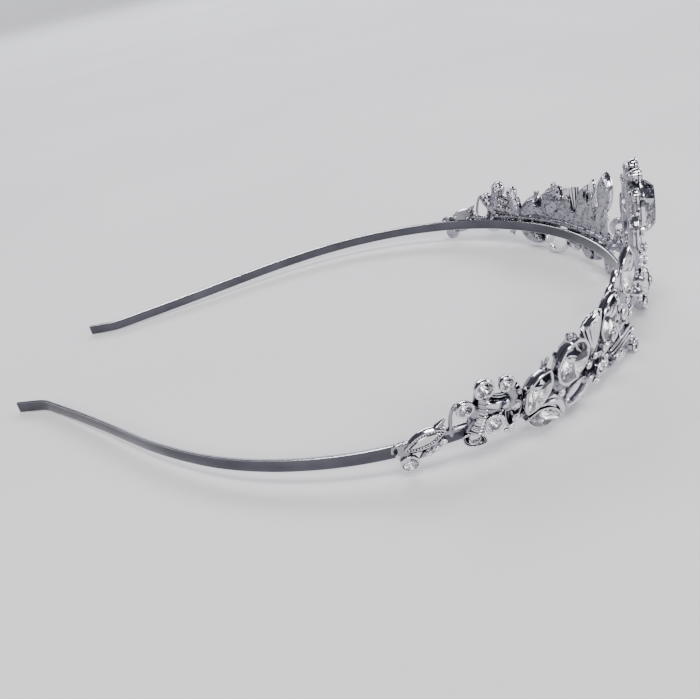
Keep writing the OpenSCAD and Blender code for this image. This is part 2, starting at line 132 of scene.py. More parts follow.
# how the finished tiara comes to rest on its tips and its lowest drops
REST_PITCH = 2.086
REST_LIFT = 8.825
REST_SHIFT = -76.15


def turn(axis, degrees):
    return Matrix.Rotation(math.radians(degrees), 4, axis)


def shift(x, y, z):
    return Matrix.Translation((x, y, z))


AT_REST = shift(0, REST_SHIFT, REST_LIFT) @ turn("X", -REST_PITCH)


def on_sheet(along, up, out, turned, lean, gap):
    swing = math.degrees(along / BAND_RADIUS)
    return (AT_REST @ shift(0, BAND_RADIUS, 0) @ turn("Z", -swing)
            @ shift(0, -BAND_RADIUS - gap, 0) @ turn("X", 90 + lean)
            @ shift(0, up, out) @ turn("Z", turned))


def side(along, up, out=0.0, turned=0.0):
    """A place on the wearer's right side."""
    lean = CENTRE_LEAN + (LEAN - CENTRE_LEAN) * min(1, along / FULL_LEAN_AT)
    return on_sheet(along, up, out, turned, lean, BACK_GAP)


def centre(across, up, out=0.0, turned=0.0):
    """A place on the centre piece, across from its middle."""
    return on_sheet(-across, up, out, turned, CENTRE_LEAN, CENTRE_GAP)


print("the big crystal's table is at", [round(v, 1) for v in centre(0, 17.5, 6.2) @ Vector()])

# %% [markdown]
# ## Shaping tools
# A part here is its points and its faces, as plain numbers. It starts from an outline seen
# from the front: round, oval, or navette, which is pointed at both ends like a boat. The
# navette is two arcs of one circle, as compasses would draw it.

# %% Draw outlines
ROUND, NAVETTE, OVAL = "round", "navette", "oval"


def outline(cut, length, width, count):
    """The edge of a stone or leaf as count points, anticlockwise from its right end."""
    if cut != NAVETTE:
        angles = np.arange(count) * 2 * math.pi / count
        return np.c_[length / 2 * np.cos(angles), width / 2 * np.sin(angles)]
    a, b = length / 2, width / 2
    radius = (a * a + b * b) / (2 * b)
    half = math.asin(min(1, a / radius))
    arc = half - 2 * half * np.arange(count // 2) / (count // 2)
    top = np.c_[radius * np.sin(arc), radius * np.cos(arc) - radius + b]
    return np.r_[top, -top]


def ring_at(edge, z):
    return np.c_[edge, np.full(len(edge), z)]


print("the first point of a navette:", outline(NAVETTE, 4, 2, 8)[0])

# %% [markdown]
# ### Lofts
# Most forms are a stack of rings with the same count, closed at both ends, which is how a
# wax carver thinks of a turned form. A Screw modifier could turn a profile too, but a loft
# also takes leaf shapes and ovals. A hoop is a loft whose last ring joins its first.

# %% Loft the outlines
def loft(rings):
    """A closed solid through rings that run anticlockwise, from its back to its front."""
    n, last = len(rings[0]), len(rings) - 1
    faces = [tuple(range(n - 1, -1, -1)), tuple(range(last * n, last * n + n))]
    for k in range(last):
        for i in range(n):
            j = (i + 1) % n
            faces.append((k * n + i, k * n + j, (k + 1) * n + j, (k + 1) * n + i))
    return np.concatenate(rings), faces


def hoop(cut, length, width, section, count):
    """A ring-shaped solid. The section runs up the outside and down the inside."""
    rings = [ring_at(outline(cut, length + 2 * out, width + 2 * out, count), z) for out, z in section]
    points, faces = loft(rings)
    last = (len(rings) - 1) * count
    faces = faces[2:] + [(last + i, last + (i + 1) % count, (i + 1) % count, i) for i in range(count)]
    return points, faces


# an outline that is pulled in is never narrower than this
NARROWEST = 0.1


def profiled(cut, length, width, profile, count):
    """A loft of one outline. The profile gives (how far out from the outline, height)."""
    return loft([ring_at(outline(cut, max(length + 2 * out, NARROWEST),
                                 max(width + 2 * out, NARROWEST), count), z)
                 for out, z in profile])


sample = profiled(ROUND, 4, 4, [(0, 0), (0.2, 1)], 32)
print("a sample loft has", len(sample[1]), "faces")

# %% [markdown]
# ### Moving and joining
# While a part is still numbers it is quick to turn, move, mirror and put together with
# others. Parts that are joined here only overlap: the castings are melted into one later.

# %% Move, join and mirror parts
def placed(part, matrix):
    points = np.asarray(part[0]) @ np.array(matrix.to_3x3()).T + np.array(matrix.translation)
    return points, part[1]


def joined(parts):
    points, faces, base = [], [], 0
    for p, f in parts:
        points.append(p)
        faces += [tuple(i + base for i in face) for face in f]
        base += len(p)
    return np.concatenate(points), faces


def mirrored(part):
    return np.asarray(part[0]) * (-1, 1, 1), [face[::-1] for face in part[1]]


print("the sample and its mirror image have", len(joined([sample, mirrored(sample)])[0]), "points")

# %% [markdown]
# ### Tubes and curves
# Stems and wires follow a path. A curve object with a bevel would do for one of them, but
# these are joined with lofts, so they are lofts as well: a ring is carried along the path
# and kept square to it, and each end is rounded off by two smaller rings.

# %% Draw curves and run tubes along them
# the rings of a rounded end: how far past the end, and how wide, both as a share of the radius
END_CAP = ((0.95, 0.3), (0.6, 0.8))


def tube(path, radii, sides=12):
    """A round bar along a path, with a radius for each point and rounded ends."""
    path = [Vector(p) for p in path]
    first = (path[0] - path[1]).normalized() * radii[0]
    last = (path[-1] - path[-2]).normalized() * radii[-1]
    stops = [(path[0] + first * k, radii[0] * r) for k, r in END_CAP]
    stops += list(zip(path, radii))
    stops += [(path[-1] + last * k, radii[-1] * r) for k, r in END_CAP[::-1]]
    rings = []
    normal = None
    for k, (point, radius) in enumerate(stops):
        before, after = stops[max(k - 1, 0)][0], stops[min(k + 1, len(stops) - 1)][0]
        ahead = (after - before).normalized()
        if normal is None:
            normal = ahead.orthogonal().normalized()
        normal = (normal - ahead * normal.dot(ahead)).normalized()
        other = ahead.cross(normal)
        angles = [2 * math.pi * i / sides for i in range(sides)]
        rings.append(np.array([point + normal * (radius * math.cos(a)) + other * (radius * math.sin(a))
                               for a in angles]))
    return loft(rings)


def curve_through(points, steps=5):
    """Points of a smooth curve through a few given ones."""
    points = [Vector(p) for p in points]
    if len(points) < 3:
        return points
    padded = [2 * points[0] - points[1]] + points + [2 * points[-1] - points[-2]]
    out = []
    for a, b, c, d in zip(padded, padded[1:], padded[2:], padded[3:]):
        for k in range(steps):
            u = k / steps
            out.append(0.5 * (2 * b + (c - a) * u + (2 * a - 5 * b + 4 * c - d) * u * u
                              + (3 * b - a - 3 * c + d) * u ** 3))
    return out + [points[-1]]


print("a curve through 3 points has", len(curve_through([(0, 0, 0), (1, 1, 0), (2, 0, 0)])), "points")

# %% [markdown]
# ## Materials
# Everything is procedural. A material is a small graph of nodes, and these graphs share
# most of their steps, so the steps are written once: each adds a node and gives back what
# comes out of it. A value that is the same all over a surface is set on the shader itself.

# %% Write the steps of a recipe
class Recipe:
    """A material in the making."""

    def __init__(self, name):
        self.material = bpy.data.materials.new(name)
        self.material.use_nodes = True
        self.tree = self.material.node_tree

    def fill(self, node, inputs):
        """Each input is a number, a colour, or what comes out of another node."""
        for name, value in inputs.items():
            if isinstance(value, bpy.types.NodeSocket):
                self.tree.links.new(value, node.inputs[name])
            else:
                node.inputs[name].default_value = value
        return node

    def add(self, kind, inputs):
        return self.fill(self.tree.nodes.new(kind), inputs)

    def position(self):
        """Where a point is on the object itself."""
        return self.add("ShaderNodeTexCoord", {}).outputs["Object"]

    def noise(self, scale, detail=3.0, position=None):
        inputs = {"Vector": position or self.position(), "Scale": scale, "Detail": detail}
        return self.add("ShaderNodeTexNoise", inputs).outputs["Fac"]

    def attribute(self, name):
        node = self.tree.nodes.new("ShaderNodeAttribute")
        node.attribute_name = name
        return node.outputs["Fac"]

    def times_plus(self, value, factor, added):
        """value * factor + added"""
        node = self.tree.nodes.new("ShaderNodeMath")
        node.operation = "MULTIPLY_ADD"
        return self.fill(node, {0: value, 1: factor, 2: added}).outputs[0]

    def spread(self, value, lowest, highest):
        """A value between 0 and 1, stretched to a range."""
        inputs = {"Value": value, "To Min": lowest, "To Max": highest}
        return self.add("ShaderNodeMapRange", inputs).outputs["Result"]

    def ramp(self, value, stops):
        """Colours at places between 0 and 1, blended in between."""
        node = self.add("ShaderNodeValToRGB", {0: value})
        elements = node.color_ramp.elements
        for element, (place, colour) in zip(elements, (stops[0], stops[-1])):
            element.position, element.color = place, (*colour, 1)
        for place, colour in stops[1:-1]:
            elements.new(place).color = (*colour, 1)
        return node.outputs["Color"]

    def bump(self, height, strength, distance):
        inputs = {"Height": height, "Strength": strength, "Distance": distance}
        return self.add("ShaderNodeBump", inputs).outputs["Normal"]

    def shade(self, inputs):
        """The finished material, with these inputs of its shader."""
        self.fill(self.tree.nodes["Principled BSDF"], inputs)
        return self.material


print("steps:", [name for name in vars(Recipe) if not name.startswith("_")])

# %% [markdown]
# ### Plated metal
# Castings keep a faint orange-peel from the mould, and their hollows are darkened with painted
# shade. A dark wash painted on by hand would do it, but here attributes of the mesh say where:
# one for the painted shade of the hollows, and back, which is 1 where the skin of the mould is
# left. Rims are turned bright after casting: the same metal, paler and smoother.

# %% Mix the plated metals
# noise scales are in waves per metre: cloudy patches, the mould's slow waves, its fine grain
PATCHES, WAVES, GRAIN = 420, 650, 2600
PATCH_SHARE = 0.09
RELIEF = 0.00006
# how blocked a point's way out is where the painted shade leaves the metal bright, half as bright, and dark
HOLLOW_STEPS = (0.10, 0.28, 0.50)
BACK_DULLER = 0.06
BACK_SWELL = 21.0


def metal(name, bright, dark, roughness, bump, swell):
    """Plated metal, darkened in its hollows as painted shade. swell is how much the slow waves outweigh the
    grain.
    """
    recipe = Recipe(name)
    back = recipe.attribute("back")
    # painted shade: the colour darkens with the share of the way out that near metal blocks
    shade = recipe.times_plus(recipe.noise(PATCHES), PATCH_SHARE, recipe.attribute("hollow"))
    half_bright = [0.5 * v for v in bright]
    grain = recipe.noise(GRAIN, 4)
    height = recipe.times_plus(recipe.noise(WAVES, 2), recipe.times_plus(back, BACK_SWELL, swell), grain)
    return recipe.shade({
        "Metallic": 1.0,
        "Base Color": recipe.ramp(shade, list(zip(HOLLOW_STEPS, (bright, half_bright, dark)))),
        "Roughness": recipe.times_plus(back, BACK_DULLER, recipe.spread(grain, *roughness)),
        "Normal": recipe.bump(height, bump, RELIEF),
    })


# the castings' colour on open faces is far darker than silver, partly a painted dark reflection, since the
# pale floor they mirror would leave them light
CASTING = metal("plated_casting", (0.36, 0.35, 0.40), (0.02, 0.02, 0.03), (0.12, 0.30), 0.50, 4.0)
POLISHED = metal("polished_rim", (0.74, 0.73, 0.78), (0.05, 0.05, 0.07), (0.05, 0.16), 0.07, 2.0)
print("plated metals:", CASTING.name, POLISHED.name)

# %% [markdown]
# ### Rolled steel
# The strip's faces show fine lines where the rolls drew it out, and its edges show wear
# and a painted highlight. An image of brushed metal would need the strip unrolled, so the lines are noise
# that a Mapping node stretches: long round the band, and very short across it.

# %% Mix the steel
# waves per metre round the band and across it, and of the smudges
LINES = (60, 60, 9000)
SMUDGES = 90
LINE_STRENGTH, LINE_DEPTH = 0.06, 0.0001


def steel():
    """Dark steel, with wear and a painted highlight where the attribute edge is 1."""
    recipe = Recipe("spring_steel")
    drawn_out = recipe.add("ShaderNodeMapping", {"Vector": recipe.position(), "Scale": LINES})
    lines = recipe.noise(1.0, 4.0, drawn_out.outputs["Vector"])
    dark = recipe.ramp(recipe.noise(SMUDGES, 5), [(0.35, (0.075, 0.075, 0.09)), (0.7, (0.115, 0.115, 0.135))])
    # near white along the edges: wear and a painted highlight
    wear_and_highlight = recipe.add("ShaderNodeMixRGB", {"Fac": recipe.attribute("edge"), "Color1": dark,
                                           "Color2": (0.86, 0.86, 0.90, 1)})
    return recipe.shade({
        "Metallic": 1.0,
        "Base Color": wear_and_highlight.outputs["Color"],
        "Roughness": recipe.spread(lines, 0.12, 0.34),
        "Normal": recipe.bump(lines, LINE_STRENGTH, LINE_DEPTH),
    })


STEEL = steel()
print("steel:", STEEL.name)

# %% [markdown]
# ### Crystal, foil and tiny stones
# Big stones are clear glass in front with mirror foil painted on the back, so light goes
# in, strikes the foil's facets and comes out again. Each facet has a number of its own, the
# attribute facet, which gives it a painted tone, a painted flash or painted shade, because real facets differ
# in how they catch the lamps. Tiny stones are too small to see into, so theirs are mirrors of many painted
# tones, glints and dark facets, under a clear coat.

# %% Mix the crystals
# waves per metre: faint clouds in the glass, the foil's grain, the shimmer of tiny stones
CLOUDS, FOIL_GRAIN, SHIMMER = 700, 1500, 900


def crystal():
    """Clear glass, each facet with a slight grey of its own."""
    recipe = Recipe("cut_crystal")
    shade = recipe.times_plus(recipe.noise(CLOUDS), 0.2, recipe.attribute("facet"))
    return recipe.shade({
        "Roughness": 0.015, "IOR": 1.6, "Transmission Weight": 1.0,
        "Base Color": recipe.ramp(shade, [(0.1, (0.84, 0.84, 0.90)), (1.0, (1, 1, 1))]),
    })


def foil():
    """Silver foil on the back of a stone, its facets painted from near black to white, as painted reflections
    and shade.
    """
    recipe = Recipe("foil_back")
    tones = [(0.22, (0.03, 0.03, 0.05)), (0.34, (0.42, 0.40, 0.49)), (0.50, (0.93, 0.93, 0.96)),
             (1.0, (1, 1, 1))]
    return recipe.shade({
        "Metallic": 1.0,
        "Base Color": recipe.ramp(recipe.attribute("facet"), tones),
        "Roughness": recipe.spread(recipe.noise(FOIL_GRAIN), 0.12, 0.30),
    })


def spark():
    """Facets of many painted tones, glints and shade, each broken up a little by a fine shimmer."""
    recipe = Recipe("small_crystal")
    shade = recipe.times_plus(recipe.noise(SHIMMER), 0.5, recipe.attribute("facet"))
    return recipe.shade({
        "Metallic": 0.75, "Roughness": 0.08, "Coat Weight": 1.0, "Coat Roughness": 0.02,
        "Base Color": recipe.ramp(shade, [(0.3, (0.05, 0.05, 0.08)), (0.5, (0.62, 0.61, 0.68)),
                                          (0.75, (1, 1, 1))]),
    })


CRYSTAL = crystal()
FOIL = foil()
SPARK = spark()
print("stones:", CRYSTAL.name, FOIL.name, SPARK.name)

# %% [markdown]
# ## The floor
# A photographer's table turns up at the back in one soft curve, so that no horizon line
# shows. The tiara is looked at from all sides, so this floor is round and turns up all
# round its rim. It is staged, which means that it isn't part of the object.

# %% Lay the floor
# in metres: how far the floor is flat, the radius of its curve, and the step of its rings
FLAT_TO = 2.5
SWEEP_RADIUS = 1.8
RING_STEP = 0.15
RINGS_ON_CURVE = 11
SECTORS = 96


def sweep():
    """The points and faces of the floor, in metres."""
    reach = [0.2, 1.0, FLAT_TO] + [FLAT_TO + RING_STEP * (k + 1) for k in range(RINGS_ON_CURVE)]
    around = [2 * math.pi * i / SECTORS for i in range(SECTORS)]
    points, faces = [(0, 0, 0)], []
    for r in reach:
        rise = SWEEP_RADIUS - math.sqrt(SWEEP_RADIUS ** 2 - max(0, r - FLAT_TO) ** 2)
        points += [(r * math.cos(a), r * math.sin(a), rise) for a in around]
    for i in range(SECTORS):
        j = (i + 1) % SECTORS
        faces.append((0, 1 + i, 1 + j))
        faces += [(a + i, a + SECTORS + i, a + SECTORS + j, a + j)
                  for a in range(1, 1 + SECTORS * (len(reach) - 1), SECTORS)]
    return points, faces


def plaster():
    recipe = Recipe("floor")
    pale = recipe.ramp(recipe.noise(6, 4), [(0.3, (0.62, 0.62, 0.64)), (0.7, (0.67, 0.67, 0.69))])
    return recipe.shade({"Base Color": pale, "Roughness": 0.7})


floor_points, floor_faces = sweep()
floor_mesh = bpy.data.meshes.new("floor")
floor_mesh.from_pydata(floor_points, [], floor_faces)
floor_mesh.materials.append(plaster())
floor_mesh.shade_smooth()
floor = bpy.data.objects.new("floor", floor_mesh)
bpy.context.scene.collection.objects.link(floor)
print("floor faces:", len(floor_faces))

# %% [markdown]
# ## Reading the hollows
# Crevices get painted shade. A shader could look for near surfaces at render time, but an
# exported model would lose that. So rays are sent out once from each point of the mesh, and
# the share that near metal blocks is kept there as an attribute, which the metal reads as painted shade.

# %% Send out the rays
RAYS = 14
# in millimetres: how far a ray looks, and how far off the skin it starts
REACH = 2.4
OFF_THE_SKIN = 0.05
# how much less a hit counts at the ray's full reach
FAR_LOSS = 0.6
# between one ray and the next, so that no two line up
GOLDEN_ANGLE = 2.39996


def spread_of_rays():
    """Directions over the half sphere round +Z, more of them near its middle."""
    rays = []
    for k in range(RAYS):
        height = math.sqrt(1 - (k + 0.5) / RAYS)
        around = k * GOLDEN_ANGLE
        flat = math.sqrt(1 - height * height)
        rays.append(Vector((flat * math.cos(around), flat * math.sin(around), height)))
    return rays


def part_of(mesh):
    points = np.array([tuple(v.co) for v in mesh.vertices])
    return points, [tuple(p.vertices) for p in mesh.polygons]


def tree_of(*parts):
    """A search tree of everything that can stand in a ray's way."""
    points, faces = joined([part_of(part) if isinstance(part, bpy.types.Mesh) else part for part in parts])
    return BVHTree.FromPolygons([tuple(p) for p in points], faces)


def mark_hollows(mesh, tree):
    """The share of the way out that near metal blocks, 0 on an open face, kept as painted shade for the
    metal.
    """
    rays, hollow = spread_of_rays(), []
    for vertex in mesh.vertices:
        start = vertex.co + vertex.normal * OFF_THE_SKIN
        outwards = vertex.normal.to_track_quat("Z", "Y").to_matrix()
        blocked = 0.0
        for ray in rays:
            distance = tree.ray_cast(start, outwards @ ray, REACH)[3]
            if distance is not None:
                blocked += 1 - FAR_LOSS * distance / REACH
        hollow.append(blocked / RAYS)
    mesh.attributes.new("hollow", "FLOAT", "POINT").data.foreach_set("value", hollow)


print("rays from each point:", len(spread_of_rays()))

# %% [markdown]
# ### The unpolished backs
# A casting is finished on the side that shows. The side that looks in over the head keeps
# the dull, uneven skin of the mould, and how far a point faces inwards says where that is.

# %% Find the backs
# y of the middle of the head, in millimetres
HEAD_MIDDLE = -20.0
# back begins where a normal leans inwards by this much, and is 1 this much further on
BACK_FROM = 0.3
BACK_OVER = 0.4


def mark_backs(mesh):
    """back is 1 where a casting looks in over the head, where nobody polishes it."""
    backs = []
    for vertex in mesh.vertices:
        inwards = Vector((-vertex.co.x, HEAD_MIDDLE - vertex.co.y, 0)).normalized()
        backs.append(min(1, max(0, (vertex.normal.dot(inwards) - BACK_FROM) / BACK_OVER)))
    mesh.attributes.new("back", "FLOAT", "POINT").data.foreach_set("value", backs)


print("backs face the point", (0, HEAD_MIDDLE))

# %% [markdown]
# ## From a mesh to a finished piece
# Metal is shaded smooth except at real corners, and stones stay flat. A piece keeps its
# place in its mesh, so its object stays at the origin, as the CAD's own objects do. Left
# pieces are the mirror image of right ones, with their faces turned to point out again.

# %% Finish a piece
SHARP = math.radians(38)
made = {}


def mesh_of(name, part):
    mesh = bpy.data.meshes.new(name)
    mesh.from_pydata([tuple(p) for p in part[0]], [], part[1])
    mesh.validate()
    return mesh


def finish(name, mesh, materials, replaced=(), smooth=True, tree=None):
    """The mesh, in millimetres, becomes a piece in metres that rides on the tiara."""
    mesh.name = name
    if smooth:
        mesh.shade_smooth()
        mesh.set_sharp_from_angle(angle=SHARP)
    if tree:
        mark_hollows(mesh, tree)
    mesh.transform(Matrix.Scale(0.001, 4))
    if not mesh.materials:
        for material in materials:
            mesh.materials.append(material)
    piece = bpy.data.objects.new(name, mesh)
    bpy.context.scene.collection.objects.link(piece)
    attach(piece, "root")
    if replaced:
        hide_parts(*replaced)
    mesh.calc_loop_triangles()
    made[name] = len(mesh.loop_triangles)


def mirror_mesh(mesh, name):
    """The same mesh for the wearer's left side."""
    copy = mesh.copy()
    copy.name = name
    copy.transform(Matrix.Diagonal((-1, 1, 1, 1)))
    copy.flip_normals()
    return copy


def finish_pair(name, mesh, materials, replaced=None, smooth=True, tree=None):
    """The same piece for both sides. Its hollows are found once, before it is mirrored."""
    if tree:
        mark_hollows(mesh, tree)
    for hand, half in (("_right", mesh), ("_left", mirror_mesh(mesh, name + "_left"))):
        finish(name + hand, half, materials, [replaced + hand] if replaced else (), smooth)


print("corners stay sharp from", round(math.degrees(SHARP)), "degrees")

# %% [markdown]
# ## The steel strip
# The band is spring steel, rolled flat and bent to a row of arcs: round the forehead,
# behind the ears, and then gently the other way, with a short bend outwards at each tip so
# that the ends don't scratch. Its edges are rounded off, and the rounded corners carry a
# painted highlight, the bright line along the top. A curve with a bevelled section could make it, but here
# the section is lofted along the arcs, because its corners with wear and painted highlight are then known by
# number.

# %% Bend the middle line
# radius (a minus bends outwards) and angle of each stretch of one arm
STRETCHES = [(64, 90), (75, 23.7), (131, 10.5), (-600, 3.87), (-10, 27)]
STEP_DEGREES = 1.5
TIP_LENGTH = 6.2


def walk_strip():
    """The middle line of one arm as (x, y, heading)."""
    x, y, heading = 0.0, 0.0, 0.0
    line = [(x, y, heading)]
    for radius, angle in STRETCHES:
        swing = math.copysign(math.radians(angle), radius)
        middle = (x - radius * math.sin(heading), y + radius * math.cos(heading))
        steps = max(2, math.ceil(angle / STEP_DEGREES))
        for i in range(1, steps + 1):
            h = heading + swing * i / steps
            line.append((middle[0] + radius * math.sin(h), middle[1] - radius * math.cos(h), h))
        x, y, heading = line[-1]
    line.append((x + TIP_LENGTH * math.cos(heading), y + TIP_LENGTH * math.sin(heading), heading))
    return line


print("points along one arm:", len(walk_strip()))

# %% [markdown]
# ### The rolled section
# The section is a flat rectangle with rounded corners. It is carried along the line and
# turns with it. The middle points of its corners get the attribute edge, which the steel
# reads as wear and a painted highlight: a Bevel node could look for edges, but an exported model would lose
# it.

# %% Roll the strip
STRIP_WIDTH = 3.0
STRIP_THICK = 0.8
EDGE_RADIUS = 0.22
CORNER_POINTS = 4


def strip_section():
    """(across, up) round the strip's section, with rounded corners."""
    points = []
    for sx, sz, start in ((1, 1, 0), (-1, 1, 90), (-1, -1, 180), (1, -1, 270)):
        cx = sx * (STRIP_THICK / 2 - EDGE_RADIUS)
        cz = -STRIP_WIDTH / 2 + sz * (STRIP_WIDTH / 2 - EDGE_RADIUS)
        for k in range(CORNER_POINTS):
            a = math.radians(start + 90 / (CORNER_POINTS - 1) * k)
            points.append((cx + EDGE_RADIUS * math.cos(a), cz + EDGE_RADIUS * math.sin(a)))
    return points


def strip_part():
    arm = walk_strip()
    whole = [(-x, y, -h) for x, y, h in arm[:0:-1]] + arm
    rings = [np.array([(x + off * math.sin(h), y - off * math.cos(h), z) for off, z in strip_section()])
             for x, y, h in whole]
    return placed(loft([ring[::-1] for ring in rings]), AT_REST)


strip_mesh = mesh_of("strip", strip_part())
# the two middle points of each rounded corner lie on the edge with wear and a painted highlight
edge_wear_and_highlight = np.array([1.0 if i % CORNER_POINTS in (1, 2) else 0.0
                      for i in range(len(strip_mesh.vertices))], np.float32)
strip_mesh.attributes.new("edge", "FLOAT", "POINT").data.foreach_set("value", edge_wear_and_highlight)
finish("strip", strip_mesh, [STEEL], ["headband"])
print("strip triangles:", made["strip"])

# %% [markdown]
# ## The stones
# Every stone sits in its own cup. The big ones are ovals and navettes, which are pointed
# at both ends like a boat. They are listed first, because the cups, the seats and the claws
# all follow from the same rows. The girdle is the widest line round a stone.

# %% List the stones
# name, cut, along, up, foot of the cup, height of the girdle, length, width, turn
SIDE_STONES = [
    ("end", ROUND, 84.2, -4, 0.1, 1.7, 3.5, 3.5, 0),
    ("bud_low", ROUND, 72.2, 5.9, 0, 2.1, 3, 3, 0),
    ("bud_high", ROUND, 68.1, 9, 0, 2.1, 3.7, 3.7, 0),
    ("bud_inner", ROUND, 63.4, 8, 0, 1.9, 2.8, 2.8, 0),
    ("roped", ROUND, 67, -0.1, 0, 2.5, 3.4, 3.4, 0),
    ("bell", ROUND, 71, -2.3, 0.2, 2, 2, 2, 0),
    ("leaf_upper", NAVETTE, 57.3, 3.2, 0, 3, 9.6, 5.2, 55),
    ("leaf_lower", NAVETTE, 56, -4.3, 0, 2.8, 9, 4.2, -19),
    ("cushion", OVAL, 48.9, 6, 0, 3.1, 9.4, 8, 55),
    ("blade_outer", NAVETTE, 35.7, 8.5, 0, 2.2, 10, 4.8, 71),
    ("blade_inner", NAVETTE, 25, 13.2, 0, 1.9, 10.8, 5, 88),
    ("blossom", ROUND, 38.8, -2, 0.2, 2.8, 2.4, 2.4, 0),
    ("drop", ROUND, 21.2, -6.8, 0.2, 3.2, 2.4, 2.4, 0),
]
CENTRE_STONES = [
    ("crystal", OVAL, 0, 17.5, 0.4, 3.1, 13.6, 10, 90),
    ("crown", ROUND, 0, 27.4, 0, 2.4, 2.8, 2.8, 0),
    ("halo_right", ROUND, -3.7, 26.4, 0, 3, 2.6, 2.6, 0),
    ("halo_left", ROUND, 3.7, 26.4, 0, 3, 2.6, 2.6, 0),
    ("shoulder_right", ROUND, -7, 22.8, 0, 2.4, 2.8, 2.8, 0),
    ("shoulder_left", ROUND, 7, 22.8, 0, 2.4, 2.8, 2.8, 0),
    ("flank_right", NAVETTE, -8.8, 14.6, 0, 2.2, 8, 3.6, 98),
    ("flank_left", NAVETTE, 8.8, 14.6, 0, 2.2, 8, 3.6, 82),
    ("flower", ROUND, 0, -1.4, 0.6, 4.6, 2.8, 2.8, 0),
    ("pendant", ROUND, 0, -6.95, 0.6, 3.4, 2.8, 2.8, 0),
]
# stones that are twisted about their long axis, in degrees
TWISTS = {"blade_inner": -12}
# how much painted light makes the foil behind a stone paler than usual
PALER = {"blade_inner": 0.35, "crystal": 0.25, "flank_right": 0.25, "flank_left": 0.25}
MAIN_FACETS = {ROUND: 8, NAVETTE: 10, OVAL: 12}
print("stones:", 2 * len(SIDE_STONES) + len(CENTRE_STONES))

# %% [markdown]
# ### The cut
# The cut is the old brilliant plan. In front are a table, a star of small facets round it,
# kites, and a row of small facets down to the girdle. The back has long facets to a point.
# The facets are laid out point by point, because a bevelled or bisected solid wouldn't
# meet so exactly.

# %% Cut a stone
# heights as a share of the stone's width
CROWN_RATIO = 0.2
HIGH_CROWNS = {"crystal": 0.31}
GIRDLE = 0.03
TABLE_RATIO = 0.58
# the kites' outer corners: how far in from the girdle to the table, and how high
KITE_IN, KITE_UP = 0.52, 0.62
# the inner corners of the facets at the back: how wide, and how deep
BACK_IN, BACK_DOWN = 0.42, 0.62


def cut_stone(cut, length, width, depth, crown_ratio=CROWN_RATIO):
    """Points, faces, and how many faces are glass at the front."""
    n = MAIN_FACETS[cut]
    crown = width * crown_ratio
    inset = width * (1 - TABLE_RATIO)
    kite_inset = inset * (1 - KITE_IN)
    fine = outline(cut, length, width, 2 * n)
    table = outline(cut, length - inset, width - inset, 2 * n)[::2]
    kites = outline(cut, length - kite_inset, width - kite_inset, 2 * n)[1::2]
    low = outline(cut, length * BACK_IN, width * BACK_IN, 2 * n)[1::2]
    points = np.concatenate([ring_at(table, crown), ring_at(kites, crown * KITE_UP), ring_at(fine, 0.0),
                             ring_at(fine, -width * GIRDLE), ring_at(low, -depth * BACK_DOWN),
                             [[0, 0, -depth]]])
    # the first point of the table, the kites, the girdle's top and bottom, the back, its tip
    T, K, G, B, L, C = 0, n, 2 * n, 4 * n, 6 * n, 7 * n
    faces = [tuple(range(n))]
    for i in range(n):
        j, before = (i + 1) % n, (i - 1) % n
        faces += [(T + i, K + i, T + j), (T + i, K + before, G + 2 * i, K + i),
                  (K + i, G + 2 * i, G + 2 * i + 1), (K + i, G + 2 * i + 1, G + (2 * i + 2) % (2 * n))]
    for i in range(2 * n):
        j = (i + 1) % (2 * n)
        faces.append((G + i, B + i, B + j, G + j))
    front = len(faces)
    for i in range(n):
        before = (i - 1) % n
        faces += [(B + 2 * i, L + i, B + 2 * i + 1), (B + 2 * i + 1, L + i, B + (2 * i + 2) % (2 * n)),
                  (B + 2 * i, L + before, C, L + i)]
    return points, faces, front


print("faces of a round stone:", len(cut_stone(ROUND, 3, 3, 1)[1]))

# %% [markdown]
# ### Light and dark facets
# In a real stone some facets flash and others are dark, and it changes with every step. A
# render of so few light boxes would leave them too even, so each facet gets a painted tone of its
# own, a painted flash or painted shade, which glass and foil read. The three facets of one wedge at the back
# are nearly the same, and a long stone gets painted shade on one side. The stone's name seeds the choice.

# %% Choose the facets' tones
LONG_STONE = 7
# how much painted shade darkens one side, for a long stone and for any other, and where that side lies
LONG_SHADE, SHORT_SHADE = 0.45, 0.2
DARK_SIDE = 50
FACETS_PER_WEDGE = 3


def facet_tones(count, front, seed, length, turned=0, paler=0.0):
    """A painted tone for each of count facets. The first ones, as many as front, are glass."""
    chance = random.Random(seed)
    tones = [chance.random() for _ in range(front)]
    shade = LONG_SHADE if length > LONG_STONE else SHORT_SHADE
    wedges = (count - front) // FACETS_PER_WEDGE
    for i in range(wedges):
        facing = math.radians(360 * (i + 0.5) / wedges + turned - DARK_SIDE)
        wedge = 0.2 + paler + 0.8 * chance.random() - shade * math.cos(facing)
        tones += [wedge + chance.uniform(-0.1, 0.1) for _ in range(FACETS_PER_WEDGE)]
    return tones


print("first tones of a sample:", [round(tone, 2) for tone in facet_tones(60, 50, "sample", 3)[:4]])

# %% [markdown]
# ### Setting the big stones
# Each stone replaces its plain solid from the CAD model and stays in its place. Glass and
# foil are two materials on one closed mesh, so no foil can slip out from behind its glass.

# %% Set the big stones
# how deep a stone reaches as a share of its width, and the metal that is left under its tip
DEPTH_RATIO = 0.42
UNDER_STONE = 0.5


def pavilion_depth(width, foot, d):
    return min(width * DEPTH_RATIO, d - foot - UNDER_STONE)


